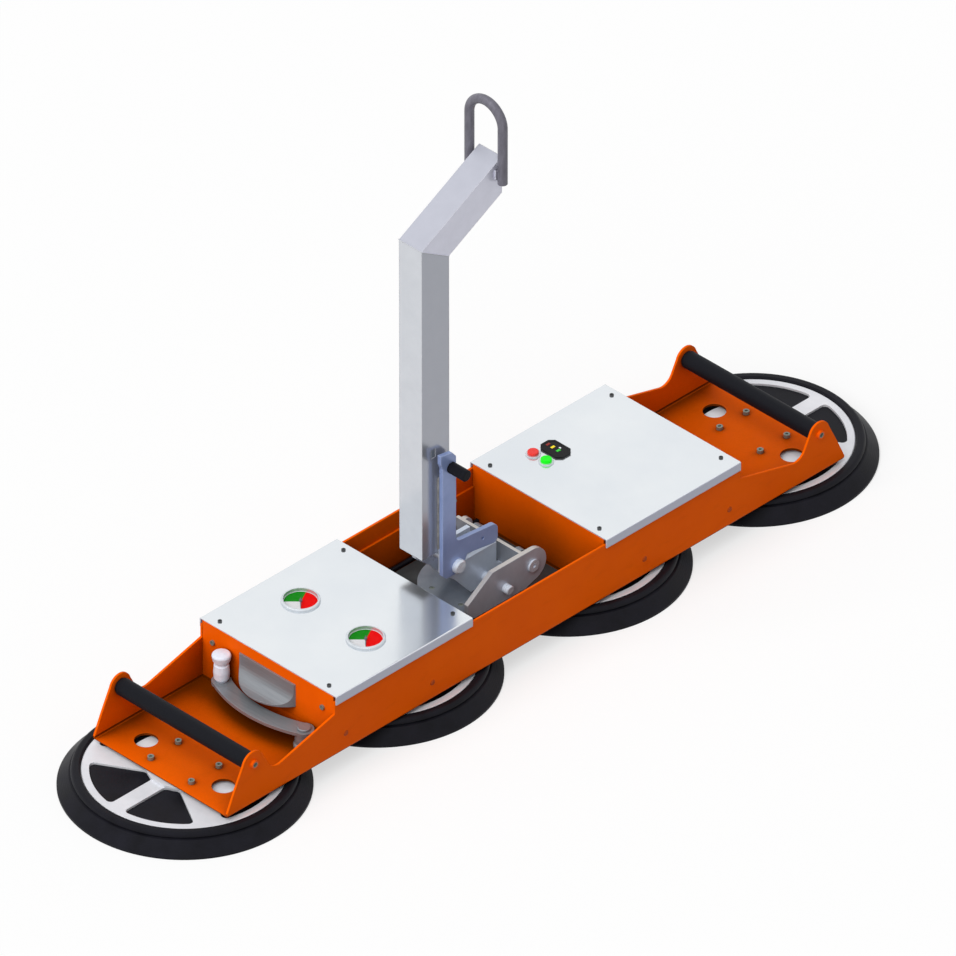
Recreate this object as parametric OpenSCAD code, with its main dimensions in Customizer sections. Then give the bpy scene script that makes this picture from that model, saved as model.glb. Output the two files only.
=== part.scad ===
// Four-pad vacuum lifter for glass panels.
// A folded sheet tray carries four suction pads in a row. A turntable in the
// middle lets the load swivel, and a cranked arm with a lifting eye tilts on it.
// The origin is the centre of the plane that the four pads rest on.
// X runs along the tray, Y across it and Z up.

/* [Suction pads] */
// Number of pads in the row
pad_count = 4; // [4:2:4]
// Outer diameter of a pad's rubber lip
pad_d = 400; // [370:2:410]
// Distance between the centres of two neighbouring pads
pad_pitch = 420; // [415:1:440]
// Diameter of the spoked pad plate
plate_d = 324; // [306:2:336]
// Thickness of the pad plate
plate_t = 10; // [8:0.5:14]
// Width of the solid rim round the windows of a pad plate
plate_rim = 13; // [8:1:20]
// Diameter of the solid hub of a pad plate
plate_hub_d = 118; // [116:1:130]
// Inner radius of the two windows of a pad that lie under the tray's sides
window_in = 100; // [90:1:110]
// Width of the two spokes that lie along the tray
spoke_main = 29; // [20:1:40]
// Width of the four slanted spokes
spoke_side = 45; // [30:1:48]
// Corner radius of a window
window_r = 8; // [4:0.5:9]
// Depth of the vacuum chamber under the rubber
chamber_h = 16; // [10:1:20]
// Thickness of the rubber mat under the plate
web_t = 6; // [4:0.5:8]
// Width of the flat sealing ring of the lip
lip_w = 50; // [35:1:56]
// Thickness of the lip's outer edge
lip_t = 4; // [2:0.5:6]
// Width of the rubber bead round the plate
bead_w = 16; // [10:1:18]
// Diameter of the vacuum port in the middle of a pad
port_d = 16; // [8:1:24]

/* [Pad fixing] */
// Thickness of the spacer between a pad plate and the tray
spacer_t = 5; // [4:0.5:10]
// Spacing of the pad screws along the tray
pad_screw_x = 60; // [50:1:62]
// Spacing of the pad screws across the tray
pad_screw_y = 90; // [80:1:92]
// Thread diameter of the pad screws
pad_screw_d = 6; // [5:0.5:6]

/* [Tray] */
// Length of the tray floor
tray_l = 1364; // [1340:2:1400]
// Width of the tray over its side walls
tray_w = 298; // [280:1:320]
// Thickness of the folded sheet
tray_t = 4; // [3:0.5:5]
// Inner radius of the two folds
fold_r = 2; // [1:0.5:4]
// Height of the walls over the underside of the floor
wall_h = 104; // [98:1:112]
// Height of the wall's shoulder past the covers
shoulder_h = 80; // [74:1:84]
// Diameter of the two drain holes at each end pad
drain_d = 38; // [20:1:44]
// Distance of a drain hole from the middle of the tray
drain_y = 86; // [80:1:96]

/* [Carrying handles] */
// Diameter of the handle bar
handle_d = 30; // [24:1:34]
// Distance of the handle axis from the end of the tray floor
handle_inset = 55; // [50:1:62]
// Height of the handle axis over the underside of the floor
handle_h = 77.5; // [74:0.5:82]
// Radius of the rounded ear round the handle screw
ear_r = 22; // [20:0.5:25]
// Thread diameter of the handle screws
handle_screw_d = 8; // [6:1:10]

/* [Bulkheads and covers] */
// Least distance of the outer bulkheads from the middle
outer_x = 447; // [436:1:450]
// Thickness of the bulkhead sheet
bulkhead_t = 3; // [2:0.5:4]
// Width of the flanges of the inner bulkheads
inner_flange = 23; // [18:1:24]
// Width of the flanges of the outer bulkheads
outer_flange = 32; // [28:1:36]
// Height of the covers' top over the walls
cover_rise = 10; // [8:0.5:14]
// Thickness of the cover sheet
cover_t = 2; // [1.5:0.5:3]
// Height of the covers' folded side lips
cover_lip = 16; // [13:1:22]
// Gap between a wall and the lip outside it
cover_gap = 0.3; // [0.2:0.1:1]
// Distance of a cover screw from its bulkhead
cover_screw_x = 13.3; // [11:0.1:15]
// Distance of a cover screw from the middle
cover_screw_y = 121; // [112:1:128]
// Thread diameter of the cover screws
cover_screw_d = 4; // [3:0.5:5]
// Height of the liner plates in the centre bay
liner_h = 67; // [50:1:80]
// Thickness of the liner plates
liner_t = 4; // [2:0.5:5]

/* [Gauges and controls] */
// Distance of the gauges from the middle along the tray
gauge_x = 305; // [290:1:320]
// Distance of a gauge from the centre line
gauge_y = 72; // [66:1:80]
// Outer diameter of a gauge bezel
gauge_d = 63; // [58:1:66]
// Diameter of the gauge dial
dial_d = 55; // [50:1:56]
// Height of a gauge bezel over the cover
bezel_h = 4; // [3:0.5:6]
// Depth of a gauge case under the cover
gauge_depth = 24; // [16:1:26]
// Distance of the push buttons from the middle along the tray
button_x = 232; // [226:1:236]
// Distance of the red button from the centre line
red_y = 95; // [94:1:104]
// Distance of the green button from the centre line
green_y = 66; // [56:1:67]
// Diameter of a button cap
button_d = 18.4; // [14:0.2:19]
// Height of a button cap over its bezel
button_h = 4.5; // [3.5:0.5:7]
// Travel of a push button
button_travel = 3; // [1.5:0.5:3.5]
// Outer diameter of a button bezel
socket_d = 25; // [23:0.5:27]
// Distance of the battery display from the middle along the tray
display_x = 265; // [264:1:275]
// Distance of the battery display from the centre line
display_y = 78; // [70:1:86]
// Size of the battery display along the tray
display_l = 33; // [28:1:36]
// Size of the battery display across the tray
display_w = 50; // [44:1:54]

/* [Turntable] */
// Thickness of the steel base plate
base_t = 6; // [5:0.5:8]
// Length of the base plate
base_l = 280; // [260:1:286]
// Width of the base plate
base_w = 250; // [230:1:256]
// Gap between the base plate and the bulkheads at its two ends
base_gap = 7.5; // [6:0.5:10]
// Diameter of the turntable disc
disc_d = 170; // [160:1:176]
// Thickness of the turntable disc
disc_t = 9.5; // [8:0.5:12]
// Outer diameter of the slewing ring
ring_d = 156; // [148:1:158]
// Height of the slewing ring
ring_h = 13; // [12:0.5:15]
// Diameter of the turntable's spigot in the ring
spigot_d = 80; // [70:1:84]
// Diameter of the hole through the turntable
disc_bore_d = 28; // [20:1:40]

/* [Tilt pivot] */
// Distance of the tilt axis from the swivel axis
tilt_x = 57.5; // [54:0.5:58]
// Height of the tilt axis over the turntable disc
tilt_h = 42; // [40:0.5:46]
// Diameter of the tilt pin
tilt_pin_d = 16; // [14:0.5:18]
// Radius of the lugs on the turntable
lug_r = 15; // [13:0.5:15.5]
// Thickness of a lug
lug_t = 12; // [8:0.5:14]
// Distance of a lug's inner face from the centre line
lug_y = 40; // [38:0.5:44]
// Running clearance of a pin in its bore, on the radius
run_gap = 0.05; // [0.02:0.01:0.09]

/* [Tilt bracket] */
// Distance of a cheek's outer face from the centre line
cheek_y = 78; // [74:0.5:80]
// Thickness of a cheek
cheek_t = 8; // [6:0.5:10]
// Radius of a cheek's rounded end
cheek_r = 30; // [26:0.5:30]
// Radius of the ends of the short far cheek
far_r = 15; // [13:0.5:15]
// Distance of a cheek's back end from the swivel axis
cheek_back = 86; // [78:1:92]
// Length of a cheek's sloping top edge, along the tray
cheek_slope = 55; // [40:1:66]
// Thickness of the cross plate between the cheeks
cross_t = 6; // [4:0.5:7]
// Thickness of the two foot plates under the arm
foot_t = 8; // [5:0.5:10]
// Reach of the foot plates past the swivel axis
foot_reach = 22; // [14:1:26]
// Width of the tongue of a foot plate along the post
tongue_w = 22; // [16:1:30]
// Height of the tongue up the post
tongue_h = 140; // [110:1:160]
// Length by which the bracket pin stands out of a cheek
pin_out = 12; // [8:0.5:14]

/* [Arm] */
// Size of the arm tube along the tray
arm_x = 60; // [50:1:66]
// Size of the arm tube across the tray
arm_y = 50; // [44:1:52]
// Wall of the arm tube
arm_t = 4; // [3:0.5:6]
// Distance of the post's back face from the swivel axis
post_x = 134; // [130:1:136]
// Height of the post's lower end over the floor
post_z0 = 189; // [184:1:194]
// Height of the bend, on the post's back face
bend_z = 776; // [700:2:820]
// Slope of the upper arm
arm_slope = 28.4; // [20:0.2:35]
// Reach of the upper arm's end past the swivel axis
arm_end_x = 42; // [41:0.5:60]

/* [Lifting eye] */
// Diameter of the eye's rod
eye_rod_d = 16; // [12:1:18]
// Distance of a leg's axis from the centre line
eye_y = 36.5; // [34.5:0.5:40]
// Distance of the eye from the end of the arm
eye_inset = 10; // [9:0.5:14]
// Length of a straight leg
eye_leg = 102; // [95:1:120]
// Height of the leg's lower end under the arm's top end corner
eye_drop = 41; // [36:1:44]

/* [Lock lever] */
// Reach of the lever's toe in front of its pivot
toe_reach = 89; // [80:1:94]
// Height of the toe's end over the pivot
toe_h = 39; // [34:1:42]
// Height of the toe's root over the pivot
toe_root = 46; // [43:1:54]
// Depth of the lever's heel under the pivot
heel_h = 14; // [12:0.5:16]
// Thickness of the lock lever
lever_t = 7.7; // [5:0.1:9]
// Width of the lever's upright strip
strip_w = 29; // [26:0.5:32]
// Height of the grip over the lever's pivot
grip_h = 195; // [170:1:215]
// Diameter of the grip
grip_d = 19.5; // [16:0.5:22]
// Length of the grip
grip_l = 36; // [30:1:60]
// Diameter of the lever's pivot pin
lock_pin_d = 12; // [8:0.5:13]
// Diameter of the pivot pin's head
lock_head_d = 25; // [20:0.5:27]

/* [Release valve] */
// Distance of the valve's spindle from the outer bulkhead
valve_out = 19; // [18:0.5:21]
// Height of the vacuum valve's lever over the tray floor
valve_h = 26.3; // [24:0.1:30]
// Thickness of the valve lever
valve_t = 6; // [4:0.5:7]
// Width of the valve lever
valve_w = 30; // [24:1:32]
// Distance of the lever's two ends from its middle
valve_reach = 91.5; // [84:0.5:95]
// How far the lever bows out
valve_bow = 20; // [14:0.5:26]
// Diameter of the valve spindle
spindle_d = 12; // [8:0.5:14]
// Diameter of the knob's head
knob_d = 31; // [26:0.5:32]
// Height of the knob
knob_h = 53; // [44:1:56]
// Width of the guard plate over the lever
guard_w = 124; // [110:1:130]
// How far the guard stands out
guard_out = 34; // [28:1:38]

/* [Equipment under the covers] */
// Diameter of a vacuum tank
tank_d = 70; // [60:1:74]
// Length of a vacuum tank
tank_l = 240; // [200:2:246]
// Clearance between the tanks and the flanges of the inner bulkheads
tank_gap = 9.5; // [9:0.5:10]
// Least distance between the tanks' far ends and the outer bulkheads
tank_end = 25; // [20:1:25]
// Length of the battery
battery_l = 108; // [90:1:112]
// Width of the battery
battery_w = 96; // [80:1:100]
// Height of the battery
battery_h = 72; // [60:1:80]
// Length of the pump head
pump_l = 44; // [36:1:48]
// Width of the pump head
pump_w = 60; // [50:1:66]
// Height of the pump head
pump_h = 66; // [56:1:72]
// Length of the pump motor
motor_l = 68; // [56:1:76]
// Diameter of the pump motor
motor_d = 56; // [48:1:60]
// Length of the control box
box_l = 96; // [80:1:100]
// Width of the control box
box_w = 104; // [80:1:108]
// Height of the control box
box_h = 46; // [36:1:56]
// Height of the pump and the control box over the tray floor
mount_h = 10; // [8:0.5:14]
// Outer diameter of the vacuum hoses
hose_d = 8; // [6:0.5:9]

/* [Hidden] */

$fn = 96;
eps = 0.01;
orange = [0.90, 0.36, 0.02];
steel = [0.55, 0.56, 0.58];
bright = [0.85, 0.87, 0.90];
dark = [0.12, 0.12, 0.14];

// Distance of the inner bulkheads from the middle
inner_x = base_l / 2 + base_gap + bulkhead_t / 2;

// Where the flanges of the inner bulkheads end
inner_bay = inner_x - bulkhead_t / 2 + inner_flange;

// Distance of the outer bulkheads from the middle, which grows with a longer tank
end_x = max(outer_x, inner_bay + tank_gap + tank_l + tank_end);

// Heights of the stack, from the glass up
plate_z = chamber_h + web_t;
plate_top = plate_z + plate_t;
floor_z = plate_top + spacer_t;
deck_z = floor_z + tray_t;
wall_top = floor_z + wall_h;
cover_top = wall_top + cover_rise;
cover_under = cover_top - cover_t;
handle_z = floor_z + handle_h;
handle_x = tray_l / 2 - handle_inset;
half_w = tray_w / 2;
inner_w = half_w - tray_t;
// Clearance between parts that are bolted side by side
fit = 0.3;
// Clearance of a screw in its hole, on the radius
screw_gap = 0.3;
// Clearance of a screw in the thread that it holds in
thread_gap = 0.05;
screw_head_h = 6;

// Turntable stack
base_top = deck_z + base_t;
ring_top = base_top + ring_h;
disc_z = ring_top + fit;
disc_top = disc_z + disc_t;
tilt_z = disc_top + tilt_h;

// Points of an arc from angle a0 to a1 about c
function arc(c, r, a0, a1, n = 10) =
    [for (i = [0:n]) let (a = a0 + (a1 - a0) * i / n)
        c + r * [cos(a), sin(a)]];

function pad_x(i) = (i - (pad_count - 1) / 2) * pad_pitch;
function flip_x(pts) = [for (i = [len(pts) - 1:-1:0]) [-pts[i][0], pts[i][1]]];
function flip_y(pts) = [for (i = [len(pts) - 1:-1:0]) [pts[i][0], -pts[i][1]]];

// Profile drawn in Y and Z, drawn out along X
module along_x(len) {
    rotate([90, 0, 90]) linear_extrude(len, center = true) children();
}

// Profile drawn in X and Z, drawn out along Y from y0 to y1
module along_y(y0, y1) {
    translate([0, y1, 0]) rotate([90, 0, 0]) linear_extrude(y1 - y0) children();
}

// Rod along Y with its middle at [x, z]
module rod_y(x, z, r, y0, y1) {
    translate([x, y1, z]) rotate([90, 0, 0]) cylinder(h = y1 - y0, r = r);
}

// Rod along X with its middle at [y, z]
module rod_x(y, z, r, x0, x1) {
    translate([x0, y, z]) rotate([0, 90, 0]) cylinder(h = x1 - x0, r = r);
}

// Socket head screw that points down, with the underside of its head at z = 0
module cap_screw(d, len, head = screw_head_h) {
    difference() {
        union() {
            translate([0, 0, -len]) cylinder(h = len + eps, r = d / 2);
            cylinder(h = head, r = d * 0.875);
        }
        translate([0, 0, head / 2]) cylinder(h = head, r = d * 0.48, $fn = 6);
    }
}

module at_pad_screws(i) {
    for (sx = [-1, 1], sy = [-1, 1])
        translate([pad_x(i) + sx * pad_screw_x / 2, sy * pad_screw_y / 2, 0])
            children();
}

// Pads

// One window between two spokes. Half widths of the spokes are w1 and w2.
function window(a1, w1, a2, w2, ri, ro, rc) =
    let (o1 = a1 + asin((w1 + rc) / (ro - rc)),
         o2 = a2 - asin((w2 + rc) / (ro - rc)),
         i1 = a1 + asin((w1 + rc) / (ri + rc)),
         i2 = a2 - asin((w2 + rc) / (ri + rc)))
    concat(
        arc((ro - rc) * [cos(o1), sin(o1)], rc, a1 - 90, o1, 5),
        arc([0, 0], ro, o1, o2, 12),
        arc((ro - rc) * [cos(o2), sin(o2)], rc, o2, a2 + 90, 5),
        arc((ri + rc) * [cos(i2), sin(i2)], rc, a2 + 90, i2 + 180, 5),
        arc([0, 0], ri, i2, i1, 4),
        arc((ri + rc) * [cos(i1), sin(i1)], rc, i1 + 180, a1 + 270, 5));

// The main spokes lie at 0 and 180 degrees, so the list of half widths repeats
spoke_half = [spoke_main / 2, spoke_side / 2, spoke_side / 2];

module pad_plate(i) {
    chamfer = 1.5;
    r = plate_d / 2;
    color([0.9, 0.9, 0.92])
    difference() {
        translate([pad_x(i), 0, 0]) difference() {
            rotate_extrude() polygon([[port_d / 2, plate_z], [r, plate_z],
                [r, plate_top - chamfer], [r - chamfer, plate_top],
                [port_d / 2, plate_top]]);
            for (k = [0:5])
                translate([0, 0, plate_z - 1]) linear_extrude(plate_t + 2)
                    polygon(window(k * 60, spoke_half[k % 3], (k + 1) * 60,
                        spoke_half[(k + 1) % 3], k % 3 == 1 ? window_in : plate_hub_d / 2,
                        r - plate_rim, window_r));
        }
        at_pad_screws(i) translate([0, 0, plate_z + 1])
            cylinder(h = plate_t, r = pad_screw_d / 2 + thread_gap);
    }
}

// Moulded rubber: sealing ring, sloping skirt, groove and a bead round the plate
module pad_seal(i) {
    ro = pad_d / 2;
    rp = plate_d / 2 + fit;
    rb = rp + bead_w;
    ri = ro - lip_w;
    bead = bead_w * 0.4;
    color(dark) translate([pad_x(i), 0, 0])
        rotate_extrude() polygon(concat(
            [[ri, 0], [ro, 0], [ro, lip_t], [rb + 3, plate_z + 2],
             [rb - 2.5, plate_z + 3], [rb, plate_z + 5]],
            arc([rb - bead, plate_top + 3 - bead], bead, 0, 90, 6),
            [[rp + 3, plate_top + 3], [rp, plate_top + 0.5], [rp, plate_z],
             [mat_r + fit, plate_z], [mat_r + fit, chamber_h], [ri, chamber_h - 3]]));
}

// Rubber mats under the pad plates. They close the windows and the vacuum chamber.
mat_r = plate_d / 2 - plate_rim + 2;

module pad_mats() {
    color(dark)
    for (i = [0:pad_count - 1]) translate([pad_x(i), 0, 0])
        rotate_extrude() polygon([[port_d / 2, chamber_h], [mat_r, chamber_h],
            [mat_r, plate_z], [port_d / 2, plate_z]]);
}

module pad_spacers() {
    color(bright)
    for (i = [0:pad_count - 1]) difference() {
        translate([pad_x(i), 0, plate_top]) difference() {
            cylinder(h = spacer_t, r = plate_hub_d / 2 + 2);
            translate([0, 0, -1]) cylinder(h = spacer_t + 2, r = port_d / 2);
        }
        at_pad_screws(i) translate([0, 0, plate_top - 1])
            cylinder(h = spacer_t + 2, r = pad_screw_d / 2 + screw_gap);
    }
}

module pad_screws() {
    color(steel)
    for (i = [0:pad_count - 1])
        at_pad_screws(i) translate([0, 0, deck_z])
            cap_screw(pad_screw_d, tray_t + spacer_t + plate_t - 2);
}

// Tray

// Side outline of one half of the tray: step, shoulder, dip, ear and end
step_x = end_x + 2;
dip = [handle_x - 54, handle_z - 5.5];
dip_r = 24;
tray_side = concat(
    [[step_x, wall_top], [step_x, floor_z + shoulder_h]],
    arc(dip, dip_r, 255, 332, 8),
    arc([handle_x, handle_z], ear_r, 165, 15, 14),
    [[tray_l / 2 - 15, floor_z + 45], [tray_l / 2 + 2, floor_z + 8],
     [tray_l / 2 + 1, floor_z + 2], [tray_l / 2 - 1, floor_z]]);

// Cross-section of the folded sheet, taller than the walls
module tray_section() {
    ro = fold_r + tray_t;
    top = wall_top + 10;
    right = concat(
        arc([half_w - ro, floor_z + ro], ro, -90, 0, 6),
        [[half_w, top], [inner_w, top]],
        arc([inner_w - fold_r, deck_z + fold_r], fold_r, 0, -90, 6));
    polygon(concat(right, flip_x(right)));
}

// Holes through both side walls
rivet_x = [inner_x + 86, end_x - 22];
rivet_z = floor_z + 33;
rivet_d = 5;

module tray() {
    color(orange)
    difference() {
        intersection() {
            along_x(tray_l + 20) tray_section();
            along_y(-half_w - 1, half_w + 1)
                polygon(concat(tray_side, flip_x(tray_side)));
        }
        for (i = [0:pad_count - 1])
            at_pad_screws(i) translate([0, 0, floor_z - 1])
                cylinder(h = tray_t + 2, r = pad_screw_d / 2 + screw_gap);
        for (i = [1:pad_count - 2])
            translate([pad_x(i), 0, floor_z - 1])
                cylinder(h = tray_t + 2, r = port_d / 2);
        for (i = [0, pad_count - 1], sy = [-1, 1])
            translate([pad_x(i), sy * drain_y, floor_z - 1])
                cylinder(h = tray_t + 2, r = drain_d / 2);
        for (sx = [-1, 1]) {
            rod_y(sx * handle_x, handle_z, handle_screw_d / 2 + screw_gap,
                -half_w - 1, half_w + 1);
            for (x = rivet_x)
                rod_y(sx * x, rivet_z, rivet_d / 2 + thread_gap,
                    -half_w - 1, half_w + 1);
        }
        at_base_screws() translate([0, 0, floor_z - 1])
            cylinder(h = tray_t + 2, r = base_screw_d / 2 + screw_gap);
    }
}

module wall_rivets() {
    head = 1.5;
    color(steel)
    for (sx = [-1, 1], x = rivet_x, sy = [-1, 1])
        translate([sx * x, sy * half_w, rivet_z]) rotate([sy * -90, 0, 0]) {
            translate([0, 0, -tray_t - fit]) cylinder(h = tray_t + fit + eps, r = rivet_d / 2);
            cylinder(h = head, r1 = rivet_d, r2 = rivet_d * 0.7);
        }
}

// Handles
module handle(sx) {
    end = inner_w - fit;
    hole_l = 26;
    color(dark)
    difference() {
        union() {
            rod_y(sx * handle_x, handle_z, handle_d / 2, -end + 4, end - 4);
            rod_y(sx * handle_x, handle_z, handle_d / 2 - 2, -end, end);
        }
        for (sy = [-1, 1])
            rod_y(sx * handle_x, handle_z, handle_screw_d / 2 + thread_gap,
                min(sy * end, sy * (end - hole_l)) - eps,
                max(sy * end, sy * (end - hole_l)) + eps);
    }
}

module handle_screws() {
    len = 22;
    color(steel)
    for (sx = [-1, 1], sy = [-1, 1])
        translate([sx * handle_x, sy * half_w, handle_z])
            rotate([sy * -90, 0, 0]) cap_screw(handle_screw_d, len + tray_t, 5);
}

// Bulkheads: folded pans that close the ends of the covered bays

// Outline with its lower corners cut to clear the folds of the tray
module pan_outline(w, h) {
    polygon([[-w / 2 + fold_r, 0], [w / 2 - fold_r, 0], [w / 2, fold_r],
        [w / 2, h], [-w / 2, h], [-w / 2, fold_r]]);
}

// Open side of the pan points to +X when dir = 1
module bulkhead(x, dir, flange, outer) {
    h = cover_under - deck_z;
    w = 2 * (inner_w - fit);
    hose_r = hose_d / 2 + screw_gap;
    color(orange)
    difference() {
        translate([x + dir * (flange - bulkhead_t) / 2, 0, deck_z]) difference() {
            along_x(flange) pan_outline(w, h);
            translate([dir * bulkhead_t, 0, h / 2])
                cube([flange, w - 2 * bulkhead_t, h - 2 * bulkhead_t], center = true);
        }
        for (sy = [-1, 1]) {
            translate([x + dir * cover_screw_x, sy * cover_screw_y, cover_under - 10])
                cylinder(h = 20, r = cover_screw_d / 2 + thread_gap);
            if (outer)
                rod_x(sy * bulkhead_screw_y, bulkhead_screw_z, bulkhead_screw_r + thread_gap,
                    x - bulkhead_t, x + bulkhead_t);
            else
                rod_x(sy * hose_y, hose_z, hose_r, x - 5, x + 5);
        }
        if (!outer)
            for (sy = [-1, 1])
                translate([x + dir * flange / 2, sy * hose_y, hose_z])
                    cube([flange + 6, 2 * hose_r, 2 * hose_r], center = true);
    }
}

bulkhead_screw_y = 121.5;
bulkhead_screw_z = deck_z + 77;
bulkhead_screw_r = 2.5;

module bulkhead_screws() {
    color(steel)
    for (sx = [-1, 1], sy = [-1, 1])
        translate([sx * (end_x + bulkhead_t / 2), sy * bulkhead_screw_y, bulkhead_screw_z])
            rotate([0, sx * 90, 0]) cap_screw(2 * bulkhead_screw_r, 8, 3);
}

module liner_plates() {
    len = 2 * (inner_x - bulkhead_t / 2 - fit);
    y0 = inner_w - liner_t;
    color(orange)
    for (sy = [-1, 1])
        translate([-len / 2, sy > 0 ? y0 : -inner_w, deck_z + fold_r])
            cube([len, liner_t, liner_h - fold_r]);
}

// Covers
cover_x0 = inner_x - 1;
cover_x1 = end_x + 1;

module cover_sheet(sx) {
    len = cover_x1 - cover_x0;
    yo = half_w + cover_gap + cover_t;
    lip_z = cover_top - cover_lip;
    rc = 1.2;
    right = concat([[yo - cover_t, cover_under], [yo - cover_t, lip_z], [yo, lip_z]],
        arc([yo - rc - cover_t / 2, cover_top - rc - cover_t / 2], rc + cover_t / 2, 0, 90, 5));
    difference() {
        translate([sx * (cover_x0 + cover_x1) / 2, 0, 0])
            along_x(len) polygon(concat(right, flip_x(right)));
        for (x = [inner_x + cover_screw_x, end_x - cover_screw_x], sy = [-1, 1])
            translate([sx * x, sy * cover_screw_y, cover_under - 1])
                cylinder(h = cover_t + 2, r = cover_screw_d / 2 + screw_gap);
    }
}

module gauge_cover() {
    color(bright)
    difference() {
        cover_sheet(-1);
        for (sy = [-1, 1])
            translate([-gauge_x, sy * gauge_y, cover_under - 1])
                cylinder(h = cover_t + 2, r = case_r + fit);
    }
}

module control_cover() {
    color(bright)
    difference() {
        cover_sheet(1);
        for (y = [red_y, green_y])
            translate([button_x, y, cover_under - 1])
                cylinder(h = cover_t + 2, r = barrel_r + fit);
        translate([display_x, display_y, cover_top])
            cube([display_l - 8 + 2 * fit, display_w - 8 + 2 * fit, 10], center = true);
    }
}

module cover_screws() {
    color(steel)
    for (sx = [-1, 1], x = [inner_x + cover_screw_x, end_x - cover_screw_x], sy = [-1, 1])
        translate([sx * x, sy * cover_screw_y, cover_top])
            cap_screw(cover_screw_d, cover_t + 8, 2);
}

// Gauges
case_r = dial_d / 2 + 1.2;
dial_z = cover_top - 2;
needle_z = dial_z + 2;
lens_z = cover_top + bezel_h - 2;

module gauge_case(sy) {
    rin = dial_d / 2 + 0.2;
    ro = gauge_d / 2;
    stem_r = 1;
    color(bright) translate([-gauge_x, sy * gauge_y, 0])
        rotate_extrude() polygon([[stem_r + run_gap, cover_top - gauge_depth], [case_r, cover_top - gauge_depth],
            [case_r, cover_top], [ro, cover_top], [ro, cover_top + bezel_h - 1.5],
            [ro - 1.5, cover_top + bezel_h], [rin, cover_top + bezel_h],
            [rin, dial_z - 1], [stem_r + run_gap, dial_z - 1]]);
}

module gauge_dials() {
    color("white")
    for (sy = [-1, 1]) translate([-gauge_x, sy * gauge_y, dial_z - 1]) difference() {
        cylinder(h = 1, r = dial_d / 2);
        translate([0, 0, -1]) cylinder(h = 3, r = 1 + run_gap);
    }
}

module gauge_lenses() {
    color([0.8, 0.9, 1.0, 0.3])
    for (sy = [-1, 1])
        translate([-gauge_x, sy * gauge_y, lens_z]) cylinder(h = 1.5, r = dial_d / 2);
}

// The needle rests at the red end, where there is no vacuum
needle_rest = -135;

module gauge_needle(sy) {
    tip = dial_d / 2 - 6;
    tail = 7;
    t = 0.6;
    color(dark) translate([-gauge_x, sy * gauge_y, 0]) {
        translate([0, 0, needle_z - 8]) cylinder(h = 8 + eps, r = 1);
        translate([0, 0, needle_z - 0.6]) cylinder(h = 1.6, r = 2.6);
        translate([0, 0, needle_z]) rotate([0, 0, needle_rest]) linear_extrude(t)
            polygon([[-tail, -1.2], [0, -1], [tip, -0.3], [tip, 0.3], [0, 1], [-tail, 1.2]]);
    }
}

// Push buttons
barrel_r = socket_d / 2 - 1.9;
socket_h = 2;
socket_deep = 18;
cap_z0 = cover_top - 10;

module button_sockets() {
    rb = button_d / 2 + run_gap;
    color(bright)
    for (y = [red_y, green_y])
        translate([button_x, y, 0]) rotate_extrude()
            polygon([[0, cover_top - socket_deep], [barrel_r, cover_top - socket_deep],
                [barrel_r, cover_top], [socket_d / 2, cover_top],
                [socket_d / 2, cover_top + socket_h - 0.6], [socket_d / 2 - 0.6, cover_top + socket_h],
                [rb, cover_top + socket_h], [rb, cap_z0 - button_travel - 1],
                [0, cap_z0 - button_travel - 1]]);
}

module button_cap(y) {
    top = cover_top + socket_h + button_h;
    r = button_d / 2;
    translate([button_x, y, 0]) rotate_extrude()
        polygon(concat([[0, cap_z0], [r, cap_z0]],
            arc([r - 1.5, top - 1.5], 1.5, 0, 90, 4), [[0, top]]));
}

module red_button() { color("red") button_cap(red_y); }
module green_button() { color("lime") button_cap(green_y); }

// Battery display: black frame with cut corners, and its window
display_h = 3;
display_deep = 12;

module cut_corner_box(l, w, c) {
    polygon([[l / 2 - c, w / 2], [-l / 2 + c, w / 2], [-l / 2, w / 2 - c],
        [-l / 2, -w / 2 + c], [-l / 2 + c, -w / 2], [l / 2 - c, -w / 2],
        [l / 2, -w / 2 + c], [l / 2, w / 2 - c]]);
}

module battery_display() {
    rim = 3.5;
    color(dark) translate([display_x, display_y, 0]) difference() {
        union() {
            translate([0, 0, cover_top]) linear_extrude(display_h)
                cut_corner_box(display_l, display_w, 8);
            translate([0, 0, cover_top - display_deep / 2])
                cube([display_l - 8, display_w - 8, display_deep + eps], center = true);
        }
        translate([0, 0, cover_top + display_h - 1]) linear_extrude(2)
            cut_corner_box(display_l - 2 * rim, display_w - 2 * rim, 7);
    }
}

module display_window() {
    rim = 3.7;
    color([0.05, 0.05, 0.06]) translate([display_x, display_y, cover_top + display_h - 1])
        linear_extrude(0.8) cut_corner_box(display_l - 2 * rim, display_w - 2 * rim, 7);
}

// Release valve in the left end bay
valve_x = -end_x - valve_out;
valve_y = -6.5;
valve_z = deck_z + valve_h;
bow_r = (valve_reach * valve_reach + valve_bow * valve_bow) / (2 * valve_bow);
bow_x = valve_x - valve_bow + bow_r;
pivot_y = valve_y - valve_reach;
knob_y = valve_y + valve_reach;
valve_end_r = valve_w / 2 + 1;

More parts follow.
